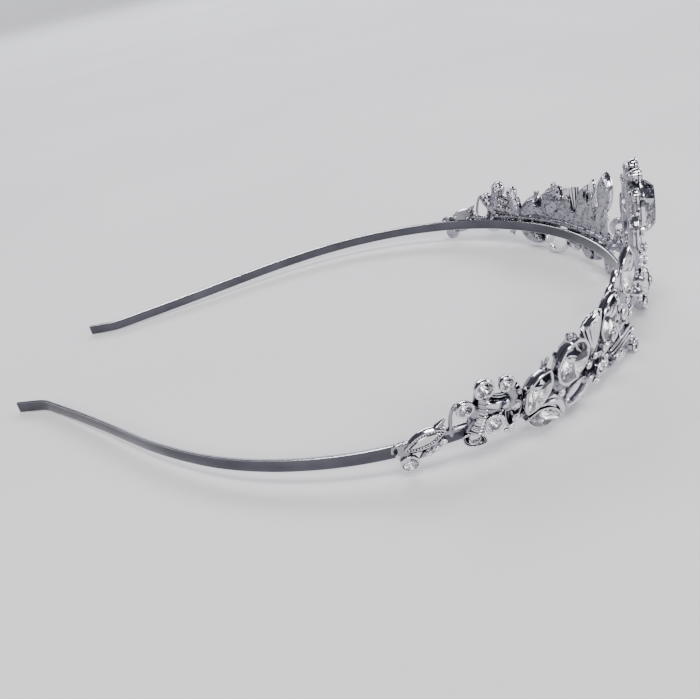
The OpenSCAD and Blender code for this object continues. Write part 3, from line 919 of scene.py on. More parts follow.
def stone_piece(row, place, node):
    name, cut, along, up, foot, d, length, width, turned = row
    points, faces, front = cut_stone(cut, length, width, pavilion_depth(width, foot, d),
                                     HIGH_CROWNS.get(name, CROWN_RATIO))
    tones = facet_tones(len(faces), front, node, length, turned, PALER.get(name, 0))
    matrix = place(along, up, d, turned) @ turn("X", TWISTS.get(name, 0))
    part = placed((points, faces), matrix)
    if node.endswith("_left") and place is side:
        part = mirrored(part)
    mesh = mesh_of("stone", part)
    mesh.attributes.new("facet", "FLOAT", "FACE").data.foreach_set("value", np.array(tones, np.float32))
    mesh.materials.append(CRYSTAL)
    mesh.materials.append(FOIL)
    mesh.polygons.foreach_set("material_index", [0 if i < front else 1 for i in range(len(faces))])
    finish("cut_" + node, mesh, [], ["stone_" + node], smooth=False)


for hand in ("right", "left"):
    for row in SIDE_STONES:
        stone_piece(row, side, row[0] + "_" + hand)
for row in CENTRE_STONES:
    stone_piece(row, centre, row[0])
print("triangles in the big crystal:", made["cut_crystal"])

# %% [markdown]
# ## Cups
# The lower part of a cup belongs to the wax and is cast with the spray. Its mouth is
# turned bright afterwards: a step runs round it, and the lip is pushed over the stone.
# Both are profiles run round the stone's own outline, so a cup always fits its stone.

# %% Raise the cups
CUP_WALL = 0.4


def cup_body(cut, length, width, foot, d):
    """A bowl with a domed back, fuller behind the navettes."""
    deep = d - foot
    taper = 0.65 if cut == NAVETTE else 1
    return profiled(cut, length, width, [
        (-width * 0.4 * taper, foot), (-width * 0.24 * taper, foot + deep * 0.06),
        (-width * 0.1 * taper, foot + deep * 0.2), (CUP_WALL * 0.3, foot + deep * 0.5),
        (CUP_WALL * 0.75, d - 0.3)], 28)


def cup_rim(cut, length, width, foot, d):
    low, lip = foot + (d - foot) * 0.5, d + width * 0.05
    return hoop(cut, length, width, [
        (CUP_WALL * 0.4, low), (CUP_WALL * 0.84, d - 0.56), (CUP_WALL * 0.84, d - 0.50),
        (CUP_WALL * 0.56, d - 0.44), (CUP_WALL * 0.56, d - 0.34), (CUP_WALL * 1.1, d - 0.26),
        (CUP_WALL * 1.14, d - 0.05), (CUP_WALL * 0.9, lip), (CUP_WALL * 0.45, lip + 0.05),
        (-width * 0.03, lip), (0.05, d - width * 0.03), (0.03, low)], 40)


def pocket(cut, length, width, foot, d):
    """The seat of a stone, cut out of the casting from the front."""
    deep = pavilion_depth(width, foot, d)
    return profiled(cut, length, width, [
        (-width * 0.30, d - deep - 0.2), (0.12, d - width * 0.06), (0.12, d + 4)], 24)


def rows_of(stones, place, form):
    """The same form for every stone of a list, each in its own place."""
    return [placed(form(cut, length, width, foot, d),
                   place(along, up, d, turned) @ turn("X", TWISTS.get(name, 0)) @ shift(0, 0, -d))
            for name, cut, along, up, foot, d, length, width, turned in stones]


side_rims = joined(rows_of(SIDE_STONES, side, cup_rim))
centre_rims = joined(rows_of(CENTRE_STONES, centre, cup_rim))
print("rim faces:", len(side_rims[1]), len(centre_rims[1]))

# %% [markdown]
# ### The smallest stones
# Stones under about two millimetres are pressed into drilled pads, each with a collar.
# The CAD model holds the larger of them, and the smallest are only here. Each row is a
# place along the band (or across from the middle), up and out, and a width.

# %% List the small stones
SIDE_SMALL = [
    (61.7, 1.8, 1.8, 2), (61.9, -1.6, 1.8, 1.6), (50.6, -1.7, 2, 1.7), (36.4, 1.7, 2.3, 2),
    (32.6, 2.2, 2.2, 2.2), (30.2, -4.6, 2.4, 1.8), (27.8, -5.4, 2.4, 1.6), (27, 4.4, 2.2, 2.4),
    (22.2, -2.4, 2.7, 1.4), (21.8, -4.4, 2.4, 1.4), (86, -1.9, 1, 1.1), (78.6, -2, 1.4, 1.3),
    (77, -0.9, 1.4, 1.3), (80.2, -2.9, 1.3, 1.1), (61, 4.6, 1.7, 1.3), (62.9, -3.6, 1.6, 1.3),
    (49, 0, 1.8, 1.3), (47.4, -0.2, 1.8, 1.2), (45.8, -0.2, 1.8, 1.2), (42.4, 0.6, 2.2, 1.4),
    (40.2, 1.8, 2.2, 1.3), (41.6, -3.2, 2.2, 1.3), (39.8, -5, 2.2, 1.3), (36, -1.2, 2.2, 1.4),
    (36.8, -4.2, 2.2, 1.4), (30.6, 9.4, 2.0, 1.3), (29.8, 7.6, 2.0, 1.4), (31.6, 6.2, 2.1, 1.3),
    (24.4, 6.4, 2.1, 1.6), (22.8, 2.2, 2.3, 1.3), (25.0, 1.4, 2.1, 1.2), (29.8, 2.5, 1.8, 1.1),
    (29.6, 4.9, 1.8, 1.2), (34.2, 4.7, 1.8, 1.3), (27.6, 1.6, 1.8, 1.2), (31.7, 4.4, 1.8, 1.1),
    (33.1, 6.6, 1.8, 1.2), (24.2, 3.6, 1.8, 1.2),
]
CENTRE_SMALL = [(0, 7.2, 4, 2)] + [(hand * across, up, out, width) for across, up, out, width in [
    (3.3, 5.4, 3.8, 1.8), (6.2, 3.8, 3.2, 1.8), (14.6, 1.8, 2.6, 1.8), (4.6, -5.4, 3, 1.6),
    (8.4, 3, 2.9, 1.3), (10.2, 2.5, 2.8, 1.3), (12.2, 2.1, 2.7, 1.3), (2, 3.4, 3.2, 1.4),
    (7.6, 8, 2.4, 1.3), (7.2, 5.9, 2.6, 1.3), (2.4, -6, 3.1, 1.3)] for hand in (-1, 1)]


def small_pad(out, width):
    """The wax under a small stone."""
    return profiled(ROUND, width, width, [(-0.1, 0.25), (0.12, out * 0.6), (0.14, out - 0.12)], 14)


def pads(rows, place):
    return [placed(small_pad(out, width), place(along, up)) for along, up, out, width in rows]


print("small stones:", 2 * len(SIDE_SMALL) + len(CENTRE_SMALL))

# %% [markdown]
# ## The cast bodies
# A spray starts as a wax model: stems, webs and leaves pressed together, then cast in one
# go. The parts below overlap, and one voxel pass melts them into a single skin with the
# soft joints of cast metal. The seats of the stones are cut out of it afterwards.

# %% List the stems and leaves of a spray
# along, up, out and radius at one end, then at the other
SIDE_STEMS = [
    (85.4, 0.4, 0.6, 0.7, 85.3, -2.8, 0.6, 0.9), (84.6, -0.6, 0.7, 0.8, 84.2, -3, 0.7, 1),
    (77.6, 2.6, 0.6, 0.9, 75.9, 4.2, 0.6, 0.3), (85.2, 0.7, 0.5, 0.7, 82.4, 0.6, 0.6, 1),
    (78.6, 0.6, 0.7, 0.8, 78.8, -2.4, 0.6, 0.8), (77, 0.7, 0.4, 0.75, 71.6, 0.4, 0.4, 0.85),
    (67.4, 3.4, 1, 1.5, 62.6, 2.6, 1, 1.3), (72.2, 5.9, 0.9, 1.4, 69.6, 3, 0.9, 1.6),
    (68.1, 9, 0.9, 1.6, 68.6, 4, 0.9, 1.8), (66.8, 5.4, 0.9, 0.9, 63, 4, 0.9, 1),
    (63.4, 8, 0.8, 1.3, 62, 4, 0.9, 1.5), (62.8, 5.7, 0.6, 0.4, 60.4, 5.8, 0.6, 0.25),
    (57.4, 1.8, 1, 1, 56.4, -1.6, 1.5, 1), (60.2, -1.9, 1.4, 0.8, 56.4, -1.4, 1.6, 1),
    (55.2, 3.4, 1.3, 0.6, 55, 8.7, 1.4, 0.42), (54.7, 7, 1.3, 0.45, 53.8, 8.8, 1.3, 0.4),
    (48.4, 9.6, 1.6, 0.8, 48.4, 11.3, 1.6, 0.85), (51.4, 8, 1, 0.8, 46.6, 10, 1, 0.8),
    (51.6, -0.3, 1.1, 0.8, 44.9, 0.2, 1, 0.8), (30.4, -4.4, 1, 1, 33.6, 0.6, 0.8, 1),
    (27.8, -5.2, 1, 0.9, 28.6, 0.6, 0.8, 0.8), (18, 0.9, 0.8, 1, 17.2, 4.6, 1.8, 0.8),
    (22.8, 0.8, 0.9, 1.1, 21.2, -6.8, 1.1, 1.3), (27, 4.4, 0.8, 1.1, 25.6, 9.4, 0.9, 1.2),
    (30, 11.4, 0.7, 0.8, 31, 4.4, 0.7, 1), (42.8, 1, 0.9, 1, 38.6, 0.4, 0.9, 1),
    (41.8, -3.4, 0.9, 0.8, 35.8, -4.2, 0.9, 0.8), (36.2, -4, 0.9, 0.8, 35.6, 0.4, 0.8, 0.8),
]
# radius at the first and last point, then points as along, up, out
SIDE_CURVES = [
    (0.46, 0.36, [(75.2, -0.4, 0.8), (75.1, 2.6, 0.9), (74.7, 5.2, 1), (73.9, 6.8, 1), (72.8, 7.2, 1)]),
    (0.42, 0.32, [(87, -1, 0.6), (86.8, 0.2, 0.7), (86, 0.9, 0.9), (84.9, 0.6, 1.1), (84.6, -0.4, 1.1),
                  (85.3, -0.9, 1.1)]),
]
# radius of the edge, then corners as along, up, out
SIDE_WEBS = [
    (0.55, [(71.6, 1, 1), (71.2, 4, 1), (67, 4, 1), (67, 1, 1)]),
    (0.55, [(65.4, 1, 1), (64.6, 4.2, 1), (59, 3.4, 1), (58, 1, 1)]),
    (0.55, [(54, 1, 1), (51, 4, 1.1), (45, 4, 1.1), (44, 1, 1)]),
    (0.55, [(40.4, 1, 1), (39.6, 5, 1), (34, 5, 1), (33, 1, 1)]),
    (0.55, [(33.6, 0.9, 1), (34.6, 4.8, 1), (27, 4.6, 1), (26, 1, 1)]),
    (0.5, [(58.6, 1, 1), (57.6, 4.6, 1), (51.4, 4.6, 1), (51, 1, 1)]),
    (0.5, [(46.4, 2, 1), (45.4, 7.4, 1), (40.4, 7.4, 1), (39.4, 2, 1)]),
    (0.5, [(36.4, 4, 1), (34.6, 9.6, 1), (30, 10.4, 1), (29, 4, 1)]),
    (0.5, [(27.6, 4, 1), (26.6, 9.6, 1), (23.4, 8.6, 1), (22.4, 1, 1)]),
]
# along, up, length, width, thickness, turn
SIDE_LEAVES = [
    (79.1, -2.4, 7, 2.2, 1.1, 26), (62.1, 0.9, 10, 3.6, 1.2, 76), (32.2, -5, 6.4, 3, 1.6, -30),
]
# the fluted fan: where its three ribs start, and where they end
FAN_FOOT = (40, 3.6)
FAN_TIPS = [(43.2, 8), (42, 8.6), (40.8, 8)]
print("stems:", len(SIDE_STEMS), "webs:", len(SIDE_WEBS), "leaves:", len(SIDE_LEAVES))

# %% [markdown]
# ### Wax tools
# A stem is a tube between two places, or along a curve through several. A web is a plate
# with a soft edge, which fills the space between stems. A leaf is a profile run round a
# pointed outline, with its raised edge and its middle rib in the profile.

# %% Shape the wax
def spot(place, along, up, out):
    return place(along, up, out) @ Vector()


def stem(place, row):
    a, b = row[:4], row[4:]
    return tube([spot(place, *a[:3]), spot(place, *b[:3])], [a[3], b[3]])


def web(place, edge, corners):
    """A plate through its corners, thick at the middle and rounded at the edge."""
    corners = corners[::-1]
    points = [spot(place, *c) for c in corners]
    out = [(place(*c).to_3x3() @ Vector((0, 0, 1))) for c in corners]
    middle = sum(points, Vector()) / len(points)
    grown = [p + (p - middle).normalized() * edge for p in points]
    return loft([np.array([p - n * edge for p, n in zip(points, out)]), np.array(grown),
                 np.array([p + n * edge for p, n in zip(points, out)])])


def leaf(length, width, thick):
    """A plain leaf with a raised edge and middle rib."""
    # share of the length, share of the width, height
    rings = [(0.9, 0.8, 0), (1, 1, thick * 0.5), (0.97, 0.94, thick * 0.85), (0.88, 0.72, thick * 0.85),
             (0.82, 0.5, thick * 0.55), (0.7, 0.26, thick * 0.6), (0.6, 0.1, thick)]
    return loft([ring_at(outline(NAVETTE, length * k, width * m, 24), z) for k, m, z in rings])


def curved(place, row, sides=12):
    first, last, points = row
    path = curve_through([spot(place, *p) for p in points])
    return tube(path, list(np.linspace(first, last, len(path))), sides)


print("faces of a plain leaf:", len(leaf(10, 3.6, 1.2)[1]))

# %% [markdown]
# ### The whole spray in wax
# A rail along the foot carries everything. On it stand the stems, webs and leaves, the
# three ribs of the fan, the cups of the stones and the pads of the small ones.

# %% Put the wax together
# the rail along the foot of a spray: from where to where, up, out, radius, points
RAIL_ENDS = (17, 71)
RAIL_UP, RAIL_OUT, RAIL_RADIUS = 0.9, 0.6, 0.85
RAIL_POINTS = 28
# the fan's ribs
RIB_RADIUS, RIB_OUT = 0.7, 0.8


def side_wax():
    parts = [stem(side, row) for row in SIDE_STEMS] + [curved(side, row) for row in SIDE_CURVES]
    parts += [web(side, edge, corners) for edge, corners in SIDE_WEBS]
    parts += [placed(leaf(length, width, thick), side(along, up, 0, turned))
              for along, up, length, width, thick, turned in SIDE_LEAVES]
    rail = [spot(side, along, RAIL_UP, RAIL_OUT) for along in np.linspace(*RAIL_ENDS, RAIL_POINTS)]
    parts.append(tube(rail, [RAIL_RADIUS] * RAIL_POINTS))
    parts += [curved(side, (RIB_RADIUS, RIB_RADIUS, [(*FAN_FOOT, RIB_OUT), (*tip, RIB_OUT)]))
              for tip in FAN_TIPS]
    return joined(parts + rows_of(SIDE_STONES, side, cup_body) + pads(SIDE_SMALL, side))


spray_wax = side_wax()
print("wax faces of a spray:", len(spray_wax[1]))

# %% [markdown]
# ### Pouring the metal
# The Remesh modifier measures the overlapping wax with small cubes and wraps one skin round
# all of it, and Smooth rounds its joints off. A Boolean union would keep every hard edge
# where two parts meet, which no casting has. What has to be exact is cut out last: the
# seats of the stones, and the strip's own room, so that the strip lies free.

# %% Cast a spray
VOXEL = 0.2
SOFTENING, SOFT_PASSES = 0.5, 3
STRIP_GAP = 0.06


def strip_room():
    """The strip's own room, from which cast metal keeps clear."""
    out = STRIP_THICK / 2 + STRIP_GAP
    block = profiled(ROUND, 2 * BAND_RADIUS, 2 * BAND_RADIUS,
                     [(out, -STRIP_WIDTH - STRIP_GAP), (out, STRIP_GAP)], 180)
    return placed(block, AT_REST @ shift(0, BAND_RADIUS, 0))


def cast(name, wax, rooms):
    """Melt the overlapping parts into one skin, soften it, and cut the rooms out."""
    body = bpy.data.objects.new(name, mesh_of(name, wax))
    tool = bpy.data.objects.new(name + "_rooms", mesh_of(name + "_rooms", joined(rooms)))
    for thing in (body, tool):
        bpy.context.scene.collection.objects.link(thing)
    melt = body.modifiers.new("melt", "REMESH")
    melt.mode = "VOXEL"
    melt.voxel_size = VOXEL
    soften = body.modifiers.new("soften", "SMOOTH")
    soften.factor = SOFTENING
    soften.iterations = SOFT_PASSES
    carve = body.modifiers.new("carve", "BOOLEAN")
    carve.operation = "DIFFERENCE"
    carve.solver = "MANIFOLD"
    carve.object = tool
    mesh = bpy.data.meshes.new_from_object(body.evaluated_get(bpy.context.evaluated_depsgraph_get()))
    mesh.materials.clear()
    for thing in (body, tool):
        bpy.data.objects.remove(thing)
    return mesh


side_body = cast("spray", spray_wax, rows_of(SIDE_STONES, side, pocket) + [strip_room()])
print("spray faces after casting:", len(side_body.polygons))

# %% [markdown]
# ## The centre piece
# It is cast like the sprays and soldered to the front of the strip. A spine runs up
# behind the big crystal, and two curved shoulders carry the flanks. Its left and right
# halves match, so one half is listed and then mirrored.

# %% Cast the centre piece
CENTRE_SPINE = [
    (0, -7, 1.4, 1.2, 0, 9, 1.4, 1.4), (0, 10, 1.2, 1.2, 0, 27.4, 1, 1.4),
    (-5, -1.6, 0.3, 0.9, 5, -1.6, 0.3, 0.9),
]
CENTRE_STEMS = [
    (-3.7, 26.4, 1, 1.1, 0, 24, 1, 1.1), (-7, 22.8, 0.9, 1.1, 0, 19, 1, 1),
    (-7, 22.8, 1.1, 0.8, -8.6, 17, 1.1, 0.8), (-8.8, 14.8, 0.9, 1, 0, 14.6, 1, 1),
    (0, 6.6, 1.4, 1.4, -6.4, 3.8, 1.2, 1.4), (-6.4, 3.8, 1.2, 1.4, -15.2, 1.4, 0.9, 1.2),
    (-8.8, 11.4, 0.9, 0.8, -7, 3.6, 1, 1), (0, -4.6, 1.4, 1, -4.6, -5.4, 1.2, 1),
    (-4.6, -5.4, 1.2, 0.9, -8.6, 0.8, 0.9, 0.8),
]
# curved over the crystal and down beside it
CENTRE_CURVES = [
    (0.5, 0.45, [(-2, 10.2, 2.2), (-5.4, 11.4, 1.8), (-7.4, 9.4, 1.6), (-7.2, 6.4, 1.6), (-5, 4.4, 1.8)]),
    (0.45, 0.35, [(-9.6, 2.2, 1.2), (-11.4, 4.6, 1.3), (-13.6, 5.2, 1.3), (-14.9, 3.9, 1.3), (-14, 3, 1.3)]),
]


def petal(length, width, thick):
    """A cupped petal with a crease along its middle."""
    # share of the length, share of the width, height
    rings = [(0.8, 0.75, 0), (1, 1, thick * 0.55), (0.98, 0.98, thick), (0.84, 0.8, thick),
             (0.7, 0.5, thick * 0.78), (0.6, 0.1, thick * 0.86)]
    return loft([ring_at(outline(OVAL, length * k, width * m, 20), z) for k, m, z in rings])


PETALS = 5
PETAL_TILT = -7.5


def petals(place, radius, length, width, thick):
    """A ring of petals round a place, each tilted up at its tip."""
    return [placed(petal(length, width, thick),
                   place @ turn("Z", 360 * i / PETALS - 90) @ shift(radius, 0, 0) @ turn("Y", PETAL_TILT))
            for i in range(PETALS)]


half = [stem(centre, row) for row in CENTRE_STEMS] + [curved(centre, row) for row in CENTRE_CURVES]
centre_wax = joined([stem(centre, row) for row in CENTRE_SPINE] + half + [mirrored(part) for part in half]
                    + rows_of(CENTRE_STONES, centre, cup_body) + pads(CENTRE_SMALL, centre))
centre_body = cast("centre", centre_wax, rows_of(CENTRE_STONES, centre, pocket) + [strip_room()])
print("centre faces after casting:", len(centre_body.polygons))

# %% [markdown]
# ## Crisp cast details
# These forms have edges finer than the voxel pass keeps, so they stay as their own lofts
# on top of the skin. First come the plain shapes: the rimmed leaf at the end, smooth
# leaves, open loops, and the thin edge round a leaf that carries stones.

# %% Shape leaves and loops
def rimmed_leaf(length, width, thick):
    return profiled(NAVETTE, length, width, [
        (-0.35, 0), (-0.05, thick * 0.3), (0, thick * 0.5), (-0.1, thick * 0.75), (-0.3, thick * 0.94),
        (-0.5, thick * 0.96), (-0.6, thick * 0.78), (-1.0, thick * 0.72), (-1.12, thick * 0.74),
        (-1.22, thick * 0.9), (-1.45, thick * 1.0), (-1.8, thick * 1.05), (-2.15, thick * 1.06)], 40)


def open_loop(length, width, wall, thick):
    return hoop(OVAL, length, width, [
        (-0.1, 0), (0, thick * 0.5), (-0.15, thick * 0.85), (-wall * 0.5, thick),
        (-wall + 0.15, thick * 0.85), (-wall, thick * 0.5), (-wall + 0.1, 0)], 44)


def leaf_edge(length, width, wall, low, high):
    """A thin raised edge round a leaf that carries stones."""
    return hoop(NAVETTE, length, width, [
        (-0.1, low), (0, high - 0.3), (-0.06, high - 0.08), (-wall * 0.5, high), (-wall + 0.06, high - 0.08),
        (-wall, high - 0.3), (-wall, low)], 40)


def plain_leaf(length, width, thick):
    """A smooth domed leaf with a soft fold along its middle."""
    return profiled(NAVETTE, length, width, [
        (-0.2, 0), (0, thick * 0.35), (-0.03, thick * 0.55), (-0.2, thick * 0.8), (-width * 0.28, thick),
        (-width * 0.42, thick * 0.94), (-width * 0.47, thick * 0.86)], 32)


print("faces of the rimmed leaf:", len(rimmed_leaf(9.6, 4.4, 1.7)[1]))

# %% [markdown]
# ### The fluted cup
# This flower of plain metal opens upwards beside the big oval stone. A bevelled cylinder
# with grooves cut in would have flutes of one depth. Here one formula makes them: the
# radius dips and swells as a ring goes round, and most of all at the middle of the cup.

# %% Shape the fluted cup
FLUTES = 14
POINTS_PER_FLUTE = 8
# share of the height, share of the width, depth of the flutes
CUP_STATIONS = [
    (0, 0.2, 0), (0.1, 0.34, 0.06), (0.3, 0.58, 0.14), (0.55, 0.8, 0.2), (0.8, 0.95, 0.2), (0.93, 1, 0.15),
    (0.99, 1.01, 0.1), (1, 0.95, 0.08), (0.97, 0.87, 0.06), (0.93, 0.7, 0.03), (0.9, 0.3, 0),
]


def fluted_cup(tall, across, deep):
    """A cup with flutes, open at its top."""
    count = FLUTES * POINTS_PER_FLUTE
    angles = np.arange(count) * 2 * math.pi / count
    rings = []
    for height, width, depth in CUP_STATIONS:
        r = width * (1 - depth * (1 - np.abs(np.sin(angles * FLUTES / 2))))
        rings.append(ring_at(np.c_[across * r * np.cos(angles), deep * r * np.sin(angles)], tall * height))
    return loft(rings)


print("faces of the fluted cup:", len(fluted_cup(8, 3.6, 1.25)[1]))

# %% [markdown]
# ### The bell
# The bell flower hangs below the buds. Its mouth has one step inside the other, like an
# eye, its throat widens towards it, and fine rungs run across, as folds of the petal do.
# The rungs are thin tubes that follow the roundness of the throat and of the stalk.

# %% Shape the bell
def bell_mouth():
    return profiled(NAVETTE, 6.2, 4.1, [
        (-1.25, -1.9), (-0.9, -1.5), (-0.5, -0.9), (-0.12, -0.35), (0.02, -0.1), (0, 0.08), (-0.14, 0.16),
        (-0.3, 0.06), (-0.34, -0.22), (-0.5, -0.26), (-0.56, -0.1), (-0.66, -0.1), (-0.8, -0.6),
        (-1.3, -1.1)], 40)


# the middle lines of the throat and of the stalk above it, as along, up, out and radius
THROAT = np.array([(68.2, 4.9, 1.1, 1.15), (69, 3, 1.35, 1.35), (70, 1, 1.35, 1.65),
                   (70.9, -0.8, 1.2, 1.95)])
STALK = np.array([(68.2, 6.7, 0.9, 1.64), (68.55, 4.2, 0.9, 1.78)])


def bell_throat():
    path = curve_through([spot(side, *row[:3]) for row in THROAT])
    return tube(path, list(np.linspace(THROAT[0][3], THROAT[-1][3], len(path))), 28)


# a rung's radius, how far it reaches round its stalk, and its direction as along, up
RUNG_RADIUS = 0.2
RUNG_REACH = 0.75
RUNG_ACROSS = (0.9, 0.43)


def rungs_up(line, count):
    """Fine rungs across the front of a stalk."""
    rungs = []
    for u in np.linspace(0.1, 0.9, count):
        along, up, out, r = (np.interp(u, np.linspace(0, 1, len(line)), line[:, k]) for k in range(4))
        ends = [(along + k * r * RUNG_ACROSS[0], up + k * r * RUNG_ACROSS[1], out + r * (0.98 - 0.5 * k * k))
                for k in (-RUNG_REACH, 0, RUNG_REACH)]
        rungs.append(curved(side, (RUNG_RADIUS, RUNG_RADIUS, ends), 8))
    return rungs


print("rungs on the bell:", len(rungs_up(THROAT, 8)) + len(rungs_up(STALK, 3)))

# %% [markdown]
# ### Wires and ribbons
# The horn, the barrel, the ribbons and the vines are tubes along smooth curves, as a
# jeweller would lay wire on the wax.

# %% Lay the wires
def barrel():
    """The smooth barrel between the upper buds, banded at its end."""
    middle = [spot(side, 67.9, 5.3, 1.8), spot(side, 66.3, 4.6, 2.0), spot(side, 64.6, 3.9, 1.8)]
    end = [spot(side, 64.5, 3.85, 1.8), spot(side, 64.1, 3.7, 1.75)]
    return joined([tube(middle, [1.0, 1.15, 1.0], 28), tube(end, [1.22, 1.16], 28)])


# radius at the first and last point, then points as along, up, out
HORN = (0.4, 1.0, [(58.6, -1, 1.9), (56.8, -0.75, 2.5), (54.6, -0.9, 2.8), (52.8, -1.9, 2.8),
                   (51.6, -3.6, 2.6), (51.1, -5.3, 2.4)])
WIRES = [
    # three ribbons along the band
    (0.36, 0.36, [(33.4, -1, 1.9), (28.4, -0.7, 2.1), (22.6, -0.9, 2.1)]),
    (0.36, 0.36, [(32.6, -2.3, 1.9), (27.6, -1.9, 2.1), (22, -2.1, 2.1)]),
    (0.36, 0.36, [(31.6, -3.6, 1.9), (27, -3.1, 2.1), (21.6, -3.3, 2.1)]),
    # three rungs across the ladder of the narrow leaf
    (0.24, 0.24, [(32.5, 9.5, 1.4), (31.2, 9.3, 1.8), (29.9, 9.4, 1.4)]),
    (0.24, 0.24, [(32.7, 10.5, 1.4), (31.3, 10.3, 1.8), (29.9, 10.4, 1.4)]),
    (0.24, 0.24, [(32.7, 11.5, 1.4), (31.4, 11.3, 1.8), (30.1, 11.4, 1.4)]),
    # two vines
    (0.24, 0.2, [(35, 3.3, 1.5), (33.4, 3.8, 1.7), (31.2, 3.1, 1.7), (29.4, 3.8, 1.7), (28.2, 3.2, 1.6)]),
    (0.24, 0.18, [(28.8, 5.8, 1.5), (27.6, 6.6, 1.6), (26, 6.4, 1.6), (25.3, 7.6, 1.6), (26.2, 8.6, 1.6)]),
    # two lines beside the buds
    (0.2, 0.2, [(67.2, 7.2, 1.5), (65.4, 6.3, 1.7), (63.8, 5.8, 1.5)]),
    (0.2, 0.2, [(67, 6.6, 1.6), (65.4, 5.7, 1.8), (63.8, 5.2, 1.6)]),
]
print("wires:", len(WIRES))

# %% [markdown]
# ### All the details together
# The details of one side become one piece, and those of the centre another. Each part is
# made flat and then turned into its place on the sheet.

# %% Join the details
END_LEAF = side(80.4, 0.9, 0, 18)
LOOP = side(45, -4.9, 0, 18)
RING_PLACE = side(17.8, 6.2, 2.4) @ turn("Y", -70) @ shift(0, 0, -0.9)
side_details = joined([
    placed(rimmed_leaf(9.6, 4.4, 1.7), END_LEAF),
    placed(open_loop(8.6, 5.8, 1.1, 1.5), LOOP),
    placed(open_loop(5.2, 5, 1.6, 1.8), RING_PLACE),
    placed(leaf_edge(10.6, 4.2, 0.36, 0.3, 1.9), side(62.2, 1.7, 0, 77)),
    placed(bell_mouth(), side(71.2, -2.2, 2.5, -36) @ turn("X", 12)),
    bell_throat(),
    curved(side, HORN, 20),
    placed(fluted_cup(8, 3.6, 1.25), side(*FAN_FOOT, 1.7, 14) @ turn("X", -90)),
    placed(plain_leaf(6.8, 3, 1.5), side(30.4, 12.7, 0.2, 80)),
    placed(open_loop(5, 3.2, 0.5, 1.7), side(31.3, 10.4, 0.1, 80)),
    placed(plain_leaf(5.4, 2.2, 1.3), side(33.3, 11.6, 0.2, 64)),
    barrel(),
    *rungs_up(THROAT, 8),
    *rungs_up(STALK, 3),
    *[curved(side, row, 8) for row in WIRES],
    *petals(side(38.8, -2, 0.3), 2.8, 3.4, 2.6, 1.6),
])
centre_details = joined(petals(centre(0, -1.4, 1.4), 3, 3.6, 2.8, 2.4))
print("detail faces:", len(side_details[1]), len(centre_details[1]))

# %% [markdown]
# ### Plating
# The crevices get painted shade. Everything that stands on a casting can shade it, so the
# rays are tested against its body, its rims and its details together.

# %% Find the hollows and finish the castings
side_tree = tree_of(side_body, side_rims, side_details)
centre_tree = tree_of(centre_body, centre_rims, centre_details)
mark_backs(side_body)
mark_backs(centre_body)
finish_pair("casting", side_body, [CASTING], "spray", tree=side_tree)
for name, part in (("rims", side_rims), ("details", side_details)):
    finish_pair(name, mesh_of(name, part), [POLISHED], tree=side_tree)
finish("casting_centre", centre_body, [CASTING], ["centre_setting"], tree=centre_tree)
for name, part in (("rims_centre", centre_rims), ("details_centre", centre_details)):
    finish(name, mesh_of(name, part), [POLISHED], tree=centre_tree)
print("faces that carry hollows:", len(side_body.polygons) + len(centre_body.polygons))

# %% [markdown]
# ## Repeats with Geometry Nodes
# Milgrain is the row of tiny beads that a knurled wheel rolls along an edge. Beads, twisted
# wire, claws and the smallest stones are all one item repeated at many places, so one node
# group does them all. Each place keeps its own turn and size as attributes.

# %% Make the repeat group
REPEAT_INPUTS = {
    "Places": "NodeSocketGeometry", "Item": "NodeSocketObject", "Size": "NodeSocketFloat",
    "Unevenness": "NodeSocketFloat", "Seed": "NodeSocketInt", "Finish": "NodeSocketMaterial",
}


def repeat_group():
    group = bpy.data.node_groups.new("repeat_at_places", "GeometryNodeTree")
    for name, kind in REPEAT_INPUTS.items():
        group.interface.new_socket(name, in_out="INPUT", socket_type=kind)
    group.interface.new_socket("Result", in_out="OUTPUT", socket_type="NodeSocketGeometry")
    add = group.nodes.new
    given, result = add("NodeGroupInput"), add("NodeGroupOutput")
    item, instances = add("GeometryNodeObjectInfo"), add("GeometryNodeInstanceOnPoints")
    facing, size = add("GeometryNodeInputNamedAttribute"), add("GeometryNodeInputNamedAttribute")
    facing.data_type, size.data_type = "FLOAT_VECTOR", "FLOAT"
    facing.inputs["Name"].default_value, size.inputs["Name"].default_value = "turn", "size"
    to_turn = add("FunctionNodeEulerToRotation")
    # each item's own size is chosen between one minus and one plus the unevenness
    chance = add("FunctionNodeRandomValue")
    low, high, times, times_again = (add("ShaderNodeMath") for _ in range(4))
    low.operation, high.operation = "SUBTRACT", "ADD"
    times.operation = times_again.operation = "MULTIPLY"
    low.inputs[0].default_value = high.inputs[0].default_value = 1.0
    realize, paint = add("GeometryNodeRealizeInstances"), add("GeometryNodeSetMaterial")
    for source, output, target, socket in (
            (given, "Places", instances, "Points"),
            (given, "Item", item, "Object"),
            (item, "Geometry", instances, "Instance"),
            (facing, "Attribute", to_turn, "Euler"),
            (to_turn, "Rotation", instances, "Rotation"),
            (given, "Unevenness", low, 1),
            (given, "Unevenness", high, 1),
            (low, 0, chance, 2),
            (high, 0, chance, 3),
            (given, "Seed", chance, "Seed"),
            (size, "Attribute", times, 0),
            (given, "Size", times, 1),
            (times, 0, times_again, 0),
            (chance, 1, times_again, 1),
            (times_again, 0, instances, "Scale"),
            (instances, "Instances", realize, "Geometry"),
            (realize, "Geometry", paint, "Geometry"),
            (given, "Finish", paint, "Material"),
            (paint, "Geometry", result, "Result")):
        group.links.new(source.outputs[output], target.inputs[socket])
    return group


REPEAT = repeat_group()
REPEAT_SOCKETS = {s.name: s.identifier for s in REPEAT.interface.items_tree if s.in_out == "INPUT"}
print("inputs of the repeat group:", list(REPEAT_SOCKETS))

# %% [markdown]
# ### Using the group
# The group works on a mesh of bare points. It gets its inputs through their identifiers,
# and its result is turned into a plain mesh at once, because an export drops instances.

